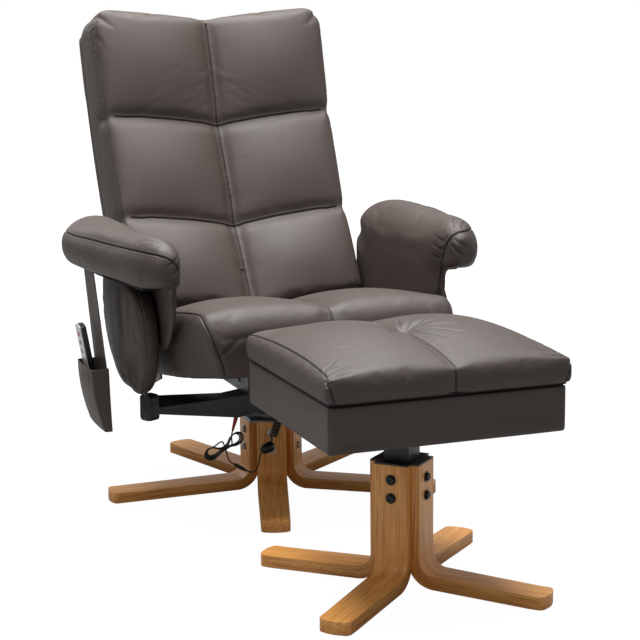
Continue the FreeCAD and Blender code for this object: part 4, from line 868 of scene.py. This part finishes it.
def back_shape(co):
    """Round upper corners, and a foot that reaches down to the seat cushion."""
    co = round_back(co)
    radius = np.hypot(co[:, 1] - BACK_Y, co[:, 2] - BACK_Z)
    angle = np.arctan2(BACK_Z - co[:, 2], co[:, 1] - BACK_Y)
    low = np.clip((np.degrees(angle) - FOOT_FROM) / (BACK_FOOT - FOOT_FROM), 0, 1) ** 2
    drop = FOOT_DROP * low * np.clip((FOOT_RADIUS - radius) / FOOT_FADE, 0, 1)
    return co - np.stack([0 * drop, np.sin(angle) * drop, np.cos(angle) * drop], axis=1)


def across_back(degrees):
    half = back_half(degrees) - 0.004
    line = [back_at(half * k / 12, BACK_VALLEY - 0.030 * (1 - abs(abs(k) / 6 - 1) ** 2), degrees)
            for k in range(-12, 13)]
    ends = [back_at(sign * (half + 0.004), BACK_VALLEY - 0.010, degrees) for sign in (-1, 1)]
    return ends[:1] + line + ends[1:]


def up_to(k):
    """The angle at one of the steps from the foot of the back to its head."""
    return BACK_FOOT - (BACK_FOOT - BACK_HEAD) * k / BACK_STEPS


def up_back():
    return [back_at(0, BACK_VALLEY, up_to(k)) for k in range(BACK_STEPS + 1)]


def back_edge(sign):
    """The seam beside the pillows, which comes nearer to the silhouette towards the head."""
    up = []
    for k in range(BACK_STEPS):
        out = k / BACK_STEPS
        x = back_half(up_to(k)) - 0.010 + 0.009 * out
        up.append(back_at(sign * x, BACK_VALLEY - 0.032 + 0.018 * out, up_to(k)))
    up += [back_at(sign * 0.274, BACK_VALLEY - 0.012, BACK_HEAD + 0.1)]
    return [Vector(p) for p in round_back([tuple(p) for p in up])]


def back_radius(co):
    return np.hypot(co[:, 1] - BACK_Y, co[:, 2] - BACK_Z)


back_seams = [across_back(BACK_SEAM_LOW), across_back(BACK_SEAM_HIGH), up_back(), back_edge(-1), back_edge(1)]
print("back seams", len(back_seams))

# %% Back cushion
padded_piece(
    ["back_cushion"], "back_pillows", "backrest", 0.0065, seams=back_seams, shape=back_shape, rounds=9,
    held=lambda co: back_radius(co) > 1.575, pressure=3.0, cap=0.012,
    dips=[(0, 0.005, 0.016), (1, 0.005, 0.016), (2, 0.005, 0.016), (3, 0.0015, 0.008), (4, 0.0015, 0.008)],
    rows=[(3, (0.005,)), (4, (-0.005,))],
    puckers=[(3, 0.62, 1.0, 14, 0.020, 0.0009, 3), (4, 0.55, 1.0, 16, 0.020, 0.0009, 4),
             (3, 0.05, 0.6, 8, 0.012, 0.0006, 5), (4, 0.05, 0.55, 8, 0.012, 0.0006, 6),
             (0, 0.04, 0.30, 4, 0.018, 0.0006, 7), (1, 0.70, 0.97, 5, 0.016, 0.0007, 8)])

# %% Upholstered rear of the back
padded_piece(["back_rear_panel"], "back_rear", "backrest", 0.0065, shape=round_back,
             held=lambda co: back_radius(co) < 1.675, pressure=1.5, cap=0.004)

# %% [markdown]
# ## Seat cushion
# Two wide cushions side by side with one seam between them, and a rounded front that falls over the
# edge. The front corners are drawn in below, so the board and its backing cloth get the same outline.

# %% Seat
SEAT_TILT, SEAT_Y, SEAT_Z = math.radians(9), 0.114, 0.372
NARROWS_FROM, NARROWS_OVER = 0.30, 0.14


def seat_at(x, t, n):
    return Vector((x, SEAT_Y - t * math.cos(SEAT_TILT) + n * math.sin(SEAT_TILT),
                   SEAT_Z + t * math.sin(SEAT_TILT) + n * math.cos(SEAT_TILT)))


def seat_place(co):
    y, z = co[:, 1] - SEAT_Y, co[:, 2] - SEAT_Z
    return -y * math.cos(SEAT_TILT) + z * math.sin(SEAT_TILT), y * math.sin(SEAT_TILT) + z * math.cos(SEAT_TILT)


def narrow_front(co):
    """Towards the front, the lower a point lies the further it is drawn to the middle."""
    co = np.array(co, float)
    t, n = seat_place(co)
    forward = np.clip((t - NARROWS_FROM) / NARROWS_OVER, 0, 1)
    forward = forward * forward * (3 - 2 * forward)
    low = np.interp(n, [-0.135, -0.100, -0.055, -0.015], [0.20, 0.115, 0.035, 0.0])
    co[:, 0] *= 1 - low * forward
    return co


def along_seat(x, top):
    outline = ((0.02, top), (0.12, top + 0.002), (0.24, top + 0.004), (0.36, top + 0.003), (0.44, top),
               (0.485, -0.02), (0.503, -0.06), (0.490, -0.095), (0.462, -0.118))
    return [Vector(p) for p in narrow_front([tuple(seat_at(x, t, n)) for t, n in outline])]


padded_piece(
    ["seat_cushion"], "seat_pillows", "seat_frame", 0.0065, shape=narrow_front, rounds=8,
    seams=[along_seat(0, 0.002), along_seat(-0.252, 0.002), along_seat(0.252, 0.002)],
    held=lambda co: seat_place(co)[1] < -0.112, pressure=3.0, cap=0.012,
    dips=[(0, 0.005, 0.018), (1, 0.0015, 0.008), (2, 0.0015, 0.008)],
    rows=[(1, (0.005,)), (2, (-0.005,))],
    puckers=[(1, 0.45, 0.98, 12, 0.018, 0.0009, 11), (2, 0.45, 0.98, 12, 0.018, 0.0009, 12),
             (0, 0.2, 0.95, 8, 0.012, 0.0005, 13)],
    folds=[([(-0.196, -0.386, 0.401), (-0.215, -0.389, 0.385), (-0.236, -0.385, 0.372)], 0.002, 0.005),
           ([(-0.150, -0.392, 0.412), (-0.190, -0.392, 0.405), (-0.225, -0.385, 0.404)], 0.0015, 0.006)])
for node, name, paint, slot in (("seat_board", "seat_plywood", plain_board, "board"),
                                ("seat_under_cover", "seat_backing", black_cloth, "black_cloth")):
    sheet = merged_copy(node, name)
    edit_all(sheet)
    for t in (0.40, 0.34):
        bpy.ops.mesh.select_all(action="SELECT")
        bpy.ops.mesh.bisect(plane_co=seat_at(0, t, -0.12),
                            plane_no=(0, -math.cos(SEAT_TILT), math.sin(SEAT_TILT)))
    leave_edit()
    put(sheet, narrow_front(places(sheet)))
    dress(sheet, paint, "seat_frame", [node])
print("seat board and backing follow the cushion")

# %% [markdown]
# ## Arms
# Pad and inner skin are one form: the leather runs without a break from the top of the arm down beside
# the seat. Its side is a border of its own, sewn to the top along the outer edge, round the nose and
# back to the inner front corner, where the seam turns down to the skin's edge.

# %% Arm pads
pad_rear = ((0.202, 0.366, 0.540), (0.165, 0.396, 0.552), (0.090, 0.408, 0.557), (0.029, 0.406, 0.558),
            (-0.100, 0.386, 0.561), (-0.240, 0.359, 0.562))
pad_nose = {"left": ((-0.285, 0.338, 0.569), (-0.305, 0.320, 0.568), (-0.309, 0.301, 0.567), (-0.307, 0.287, 0.562),
                     (-0.301, 0.279, 0.551), (-0.292, 0.276, 0.536), (-0.285, 0.275, 0.519), (-0.278, 0.274, 0.504)),
            "right": ((-0.290, 0.340, 0.560), (-0.315, 0.321, 0.557), (-0.325, 0.300, 0.547), (-0.322, 0.286, 0.532),
                      (-0.310, 0.279, 0.518), (-0.296, 0.276, 0.507), (-0.283, 0.275, 0.498))}
skin_edge = ((-0.270, 0.275, 0.484), (-0.263, 0.275, 0.462), (-0.258, 0.275, 0.436), (-0.240, 0.275, 0.405),
             (-0.218, 0.275, 0.376))


def pad_seam(sign, hand):
    return [(sign * x, y, z) for y, x, z in pad_rear + pad_nose[hand] + skin_edge]


def mirrored(folds, sign):
    return [([(sign * x, y, z) for x, y, z in line], depth, width) for line, depth, width in folds]


HOLD_BELOW, HOLD_OUTSIDE = 0.497, 0.284
arm_folds = [
    ([(0.292, -0.298, 0.568), (0.304, -0.272, 0.578), (0.322, -0.240, 0.585)], 0.0012, 0.0030),
    ([(0.308, -0.302, 0.570), (0.322, -0.280, 0.577), (0.340, -0.250, 0.578)], 0.0010, 0.0028),
    ([(0.277, -0.294, 0.546), (0.275, -0.272, 0.549), (0.276, -0.250, 0.556)], 0.0010, 0.0030),
    ([(0.275, -0.288, 0.530), (0.274, -0.268, 0.532), (0.274, -0.248, 0.538)], 0.0012, 0.0030),
    ([(0.275, -0.280, 0.512), (0.274, -0.262, 0.512), (0.274, -0.240, 0.516)], 0.0010, 0.0034),
    ([(0.282, -0.306, 0.545), (0.290, -0.318, 0.532), (0.300, -0.322, 0.520)], 0.0014, 0.0030),
    ([(0.284, -0.308, 0.556), (0.296, -0.320, 0.546), (0.312, -0.326, 0.536)], 0.0012, 0.0030),
    ([(0.283, -0.271, 0.480), (0.284, -0.268, 0.450), (0.286, -0.258, 0.415)], 0.0020, 0.0026),
    ([(0.345, -0.290, 0.530), (0.350, -0.285, 0.512), (0.345, -0.282, 0.496)], 0.0010, 0.0050),
    ([(0.398, -0.020, 0.520), (0.400, -0.012, 0.505), (0.396, -0.008, 0.494)], 0.0010, 0.0050),
]
for sign, hand in ((-1, "right"), (1, "left")):
    padded_piece(
        ["arm_pad_" + hand, "arm_inner_" + hand], "arm_" + hand, "seat_frame", 0.0058, seams=[pad_seam(sign, hand)],
        held=lambda co: (co[:, 2] < HOLD_BELOW) & (np.abs(co[:, 0]) > HOLD_OUTSIDE),
        pressure=2.2, cap=0.006, rounds=9,
        dips=[(0, 0.0012, 0.009)], rows=[(0, (0.0045, -0.0045))], folds=mirrored(arm_folds, sign),
        puckers=[(0, 0.58, 0.70, 7, 0.026, 0.0007, 21), (0, 0.72, 0.84, 6, 0.014, 0.0011, 22),
                 (0, 0.05, 0.6, 7, 0.012, 0.0005, 23)])

# %% [markdown]
# The leaf over each upright is a flat bag of leather: a seam runs down its front edge, and soft
# folds hang from the pad above.

# %% Leaves
leaf_front = ((-0.112, 0.470), (-0.145, 0.455), (-0.181, 0.425), (-0.196, 0.385), (-0.199, 0.345), (-0.190, 0.305),
              (-0.160, 0.272))
leaf_folds = [
    ([(0.336, -0.060, 0.474), (0.337, -0.075, 0.420), (0.337, -0.095, 0.350)], 0.0014, 0.0160),
    ([(0.336, 0.010, 0.472), (0.337, 0.000, 0.400), (0.336, -0.030, 0.320)], 0.0014, 0.0180),
    ([(0.333, -0.120, 0.462), (0.334, -0.135, 0.415), (0.333, -0.138, 0.360)], 0.0012, 0.0100),
    ([(0.330, -0.120, 0.262), (0.331, -0.122, 0.285), (0.332, -0.128, 0.310)], 0.0008, 0.0045),
    ([(0.333, -0.070, 0.262), (0.335, -0.075, 0.285), (0.336, -0.085, 0.312)], 0.0008, 0.0050),
]


LEAF_DROP, LEAF_FROM, LEAF_OVER, LEAF_SEAM_X = 0.007, 0.300, 0.044, 0.322


def long_leaf(co):
    """The lower end hangs down to the cap."""
    co = np.array(co, float)
    co[:, 2] -= LEAF_DROP * np.clip((LEAF_FROM - co[:, 2]) / LEAF_OVER, 0, 1)
    return co


for sign, hand in ((-1, "right"), (1, "left")):
    padded_piece(
        ["arm_side_" + hand], "leaf_" + hand, "seat_frame", 0.0050, pressure=2.0, cap=0.005, rounds=14,
        seams=[[(sign * LEAF_SEAM_X, y, z) for y, z in leaf_front]],
        held=lambda co: co[:, 2] > 0.46, rows=[(0, (0.003,))],
        groove=(0.0009, 0.0014), shape=long_leaf, folds=mirrored(leaf_folds, sign))

# %% [markdown]
# ## Footstool
# The top panel of the lid runs over its rounded front and rear edges without a seam. The two ends are
# panels of their own, sewn in along the rounded outline. A seam runs from front to back through a tuft,
# which draws the leather into wrinkles all round it. The box below is covered in the same leather.

# %% Lid and box
STOOL_X, STOOL_Y = 0.0035, -0.7015
LID_END, LID_FRONT, LID_REAR = 0.2125, -0.9145, -0.4990


def lid_end(sign):
    x = STOOL_X + sign * LID_END
    return [(x, LID_REAR + 0.004, 0.394), (x, LID_REAR, 0.412), (x, LID_REAR - 0.012, 0.434),
            (x, -0.560, 0.442), (x, -0.640, 0.446), (x, -0.735, 0.447), (x, -0.830, 0.443), (x, -0.880, 0.436),
            (x, LID_FRONT + 0.012, 0.424), (x, LID_FRONT, 0.408), (x + sign * -0.006, LID_FRONT, 0.392)]


lid_middle = [(0.0035, -0.4995, 0.395), (0.0035, -0.4975, 0.420), (0.0035, -0.508, 0.440), (0.0035, -0.560, 0.452),
              (0.0035, -0.640, 0.460), (0.0035, -0.7015, 0.447), (0.0050, -0.770, 0.459), (0.0075, -0.840, 0.453),
              (0.0085, -0.893, 0.440), (0.0085, -0.914, 0.420), (0.0085, -0.914, 0.392)]
tuft = Vector((STOOL_X, STOOL_Y, 0.447))
tuft_ways = ((20, 0.110, 0.0030), (48, 0.130, 0.0034), (75, 0.085, 0.0024), (105, 0.080, 0.0026),
             (140, 0.105, 0.0030), (165, 0.080, 0.0024), (200, 0.095, 0.0028), (232, 0.075, 0.0024),
             (258, 0.100, 0.0026), (284, 0.110, 0.0030), (312, 0.130, 0.0034), (338, 0.100, 0.0028))
lid_folds = []
for degrees, reach, width in tuft_ways:
    way = Vector((math.cos(math.radians(degrees)), math.sin(math.radians(degrees)), 0))
    bent = Vector((-way.y, way.x, 0)) * 0.06 * math.sin(degrees)
    lid_folds.append(([tuft + way * 0.012, tuft + (way + bent) * reach * 0.5 + Vector((0, 0, 0.018)),
                       tuft + (way + 2 * bent) * reach + Vector((0, 0, 0.022))], 0.0017, width))
# Folds in from the seams at the ends: places as distance from the end, y and z, then depth and width
corner_folds = (
    (((0, -0.890, 0.434), (0.020, -0.882, 0.440), (0.048, -0.874, 0.446)), 0.0020, 0.0030),
    (((0, -0.905, 0.424), (0.022, -0.902, 0.430), (0.046, -0.898, 0.438)), 0.0018, 0.0034),
    (((0, -0.870, 0.438), (0.018, -0.858, 0.444), (0.036, -0.842, 0.450)), 0.0016, 0.0030),
    (((0, -0.520, 0.436), (0.022, -0.528, 0.442), (0.048, -0.534, 0.448)), 0.0016, 0.0034))
for sign in (-1, 1):
    end_x = STOOL_X + sign * LID_END
    lid_folds += [([(end_x - sign * inward, y, z) for inward, y, z in line], depth, width)
                  for line, depth, width in corner_folds]
padded_piece(
    ["lid_cushion"], "lid_pillow", "stool_lid", 0.0055, seams=[lid_middle, lid_end(-1), lid_end(1)],
    held=lambda co: co[:, 2] < 0.398, pressure=2.5, cap=0.008, rounds=7, folds=lid_folds,
    dips=[(0, 0.0035, 0.013), (1, 0.0012, 0.008), (2, 0.0012, 0.008)], rows=[(1, (-0.0045,)), (2, (0.0045,))],
    puckers=[(1, 0.62, 0.98, 9, 0.020, 0.0012, 31), (2, 0.62, 0.98, 9, 0.020, 0.0012, 32),
             (1, 0.10, 0.60, 8, 0.014, 0.0006, 33), (0, 0.05, 0.95, 12, 0.014, 0.0006, 34)])
BOX_X, BOX_Y, BOX_EDGE = 0.215, 0.203, 0.002
box_corners = [[(STOOL_X + sx * (BOX_X - BOX_EDGE), STOOL_Y + sy * (BOX_Y - BOX_EDGE), z)
                for z in (0.306, 0.330, 0.356, 0.384)] for sx, sy in ((-1, -1), (1, -1), (-1, 1), (1, 1))]
box_folds = [([(-0.2115, -0.880, 0.384), (-0.2115, -0.850, 0.372), (-0.2115, -0.800, 0.366)], 0.0008, 0.010),
             ([(-0.205, -0.9045, 0.310), (-0.160, -0.9045, 0.318), (-0.100, -0.9045, 0.320)], 0.0008, 0.012),
             ([(0.205, -0.9045, 0.318), (0.150, -0.9045, 0.334), (0.080, -0.9045, 0.338)], 0.0008, 0.012)]
padded_piece(["stool_box"], "box_cover", "stool", 0.0048, seams=box_corners, pressure=0.0, rounds=3,
             groove=(0.0007, 0.0016), folds=box_folds)

# %% Pocket for the handset
padded_piece(
    ["side_pocket"], "pocket", "seat_frame", 0.0018, pressure=0.0, rounds=4,
    folds=[([(-0.4135, -0.080, 0.300), (-0.4130, -0.078, 0.286), (-0.4115, -0.074, 0.262)], 0.0012, 0.0040),
           ([(-0.4145, -0.040, 0.302), (-0.4135, -0.036, 0.280), (-0.4120, -0.034, 0.240)], 0.0014, 0.0060),
           ([(-0.4140, 0.010, 0.300), (-0.4130, 0.004, 0.280), (-0.4110, 0.000, 0.250)], 0.0012, 0.0045),
           ([(-0.3935, -0.100, 0.190), (-0.3980, -0.070, 0.200), (-0.4010, -0.030, 0.206)], 0.0012, 0.0050)])

# %% [markdown]
# ## Legs
# Each leg is one bent board. The solid has its exact bend and taper, so a copy of it is merged, its flat
# faces are made whole, and its long edges get the small round that sanding leaves.


# %% Legs
LEG_BEND, BEND_CUTS, LEG_EDGE = 0.028, 10, 0.0030


def leg_lengths(piece, turn, centre, post, thick, lift):
    """Lengths along, across and through a bent board, for the grain."""
    co = places(piece) - np.array(centre)
    c, s = math.cos(-turn), math.sin(-turn)
    r = co[:, 0] * c - co[:, 1] * s
    w = co[:, 0] * s + co[:, 1] * c
    z = co[:, 2]
    start = post + LEG_BEND
    knee = lift(start) + thick + LEG_BEND
    outer = thick + LEG_BEND
    upright = z > knee
    foot = r > start
    angle = np.arctan2(knee - z, start - r)
    radius = np.hypot(start - r, knee - z)
    under = z - np.array([lift(x) for x in r])
    along = np.where(upright, -(z - knee), np.where(foot, outer * math.pi / 2 + r - start, outer * angle))
    through = np.where(upright, post - r, np.where(foot, thick - under, radius - LEG_BEND))
    data = np.stack([along, w, through * VENEERS * VENEER / thick], axis=1).astype(np.float32)
    known = piece.data.attributes.new("lengths", "FLOAT_VECTOR", "POINT")
    known.data.foreach_set("vector", data.ravel())


def bent_leg(node, name, body, turn, centre, post, thick, lift):
    piece = merged_copy(node, name)
    edit_all(piece)
    bpy.ops.mesh.dissolve_limited(angle_limit=math.radians(0.6))
    reach = post + LEG_BEND
    start = Vector((math.cos(turn), math.sin(turn), 0)) * reach + Vector((0, 0, lift(reach) + thick + LEG_BEND))
    for k in range(BEND_CUTS + 1):
        lean = math.pi / 2 * k / BEND_CUTS
        across = Vector((math.cos(turn) * math.cos(lean), math.sin(turn) * math.cos(lean), math.sin(lean)))
        bpy.ops.mesh.select_all(action="SELECT")
        bpy.ops.mesh.bisect(plane_co=Vector(centre) + start, plane_no=across)
    leave_edit()
    edge = piece.modifiers.new("Bevel", "BEVEL")
    edge.limit_method = "ANGLE"
    edge.angle_limit = math.radians(50)
    edge.width = LEG_EDGE
    edge.segments = 3
    apply_modifier(piece, edge)
    leg_lengths(piece, turn, centre, post, thick, lift)
    bpy.ops.object.shade_smooth_by_angle(angle=math.radians(40))
    dress(piece, oak, body, [node])


CHAIR_TURN, CHAIR_POST, CHAIR_BOARD = -107.7, 0.060, 0.022
STOOL_TURN, STOOL_POST, STOOL_BOARD = -137.6, 0.047, 0.023
FOOT_SLOPE, FOOT_END, FOOT_START = 0.04, 0.249, 0.075


def level_foot(r):
    return 0.0


def sloped_foot(r):
    """The footstool's feet fall by 4 % towards their flat ends."""
    return FOOT_SLOPE * max(0.0, FOOT_END - max(r, FOOT_START))


for k in range(5):
    bent_leg("base_leg_%d" % (k + 1), "chair_leg_%d" % (k + 1), "chair_base",
             math.radians(CHAIR_TURN + 72 * k), (0, 0, 0), CHAIR_POST, CHAIR_BOARD, level_foot)
for k in range(4):
    bent_leg("stool_leg_%d" % (k + 1), "footstool_leg_%d" % (k + 1), "stool",
             math.radians(STOOL_TURN + 90 * k), (STOOL_X, STOOL_Y, 0), STOOL_POST, STOOL_BOARD, sloped_foot)
print("legs ready")

# %% [markdown]
# ## Caps and arm boards
# The moulded caps on the crossbar's ends have round edges and shallow grooves near the top. The boards
# inside the arms end a little before the padding does, because the foam is wrapped round their edges.

# %% Caps
BAR_TURN, CAP_ROUND = math.radians(24.7), 0.009
GROOVES, GROOVE_DEEP, GROOVE_WIDE = (0.2445, 0.2405, 0.2365, 0.2325), 0.0008, 0.0009
BOARD_SHARES = (0.80, 0.88, 1.0)


def rounded_cap(co, sign):
    """The box of the cap gets round edges, measured in the bar's own direction."""
    centre = (co.max(axis=0) + co.min(axis=0)) / 2
    along = np.array([math.cos(BAR_TURN), -sign * math.sin(BAR_TURN), 0])
    axes = np.stack([along, [-along[1], along[0], 0], [0, 0, 1]])
    local = (co - centre) @ axes.T
    middle_of_box = (local.max(axis=0) + local.min(axis=0)) / 2
    local -= middle_of_box
    half = local.max(axis=0)
    straight = half - CAP_ROUND
    past = np.maximum(np.abs(local) - straight, 0)
    far = np.linalg.norm(past, axis=1, keepdims=True)
    share = np.where(far > 0, past.max(axis=1, keepdims=True) / np.maximum(far, 1e-9), 1)
    local = np.sign(local) * (np.minimum(np.abs(local), straight) + past * share)
    return (local + middle_of_box) @ axes + centre


for hand in ("right", "left"):
    cap = merged_copy("bar_cap_" + hand, "end_cap_" + hand)
    even_faces(cap, 0.0011, 5)
    put(cap, rounded_cap(places(cap), -1 if hand == "right" else 1))
    co, out = places(cap), normals(cap)
    cap_middle = (co.max(axis=0) + co.min(axis=0)) / 2
    outside = ((co - cap_middle)[:, :2] * out[:, :2]).sum(axis=1) > 0
    depth = sum(np.exp(-((co[:, 2] - height) / GROOVE_WIDE) ** 2) for height in GROOVES)
    put(cap, co - out * (GROOVE_DEEP * depth * outside)[:, None])
    cap.data.shade_smooth()
    dress(cap, black_plastic, "seat_frame", ["bar_cap_" + hand])
boards = merged_copy("arm_boards", "boards_in_arms")
co = places(boards)
for side in (co[:, 0] > 0, co[:, 0] < 0):
    centre = (co[side].max(axis=0) + co[side].min(axis=0)) / 2
    co[side] = centre + (co[side] - centre) * BOARD_SHARES
put(boards, co)
dress(boards, black_cloth, "seat_frame", ["arm_boards"])
print("caps and boards ready")

# %% [markdown]
# ## Hard parts
# The other solids have their true shapes already, so they keep them and get their finishes.

# %% Finishes on the solids
finishes = {
    black_steel: ("base_hub", "seat_cradle", "crossbar", "arm_upright_right", "arm_upright_left",
                  "seat_hinge_plates", "back_hinge_arms", "stool_cover_plate", "stool_tube", "stool_mount_plate"),
    grey_steel: ("base_top_plate", "swivel_spindle", "thrust_bearing", "stool_hinge_leaf", "lid_hinge_leaf"),
    bright_bolt: ("base_bolts",),
    black_bolt: ("stool_bolts",),
    black_plastic: ("seat_motors", "back_motors", "handset_body", "inline_connector", "curl_plug"),
    white_plastic: ("handset_face",),
    grey_plastic: ("button_mode", "button_strength"),
    red_plastic: ("power_plug", "button_power"),
    plain_board: ("back_board",),
    black_cloth: ("lid_board",),
}
for material, names in finishes.items():
    for name in names:
        solid = solids[name]
        solid.data.materials.clear()
        solid.data.materials.append(material)
print("finished solids", sum(len(names) for names in finishes.values()))

# %% [markdown]
# ## Last update
# The scene is brought up to date at the end.

# %% Update
bpy.context.view_layer.update()
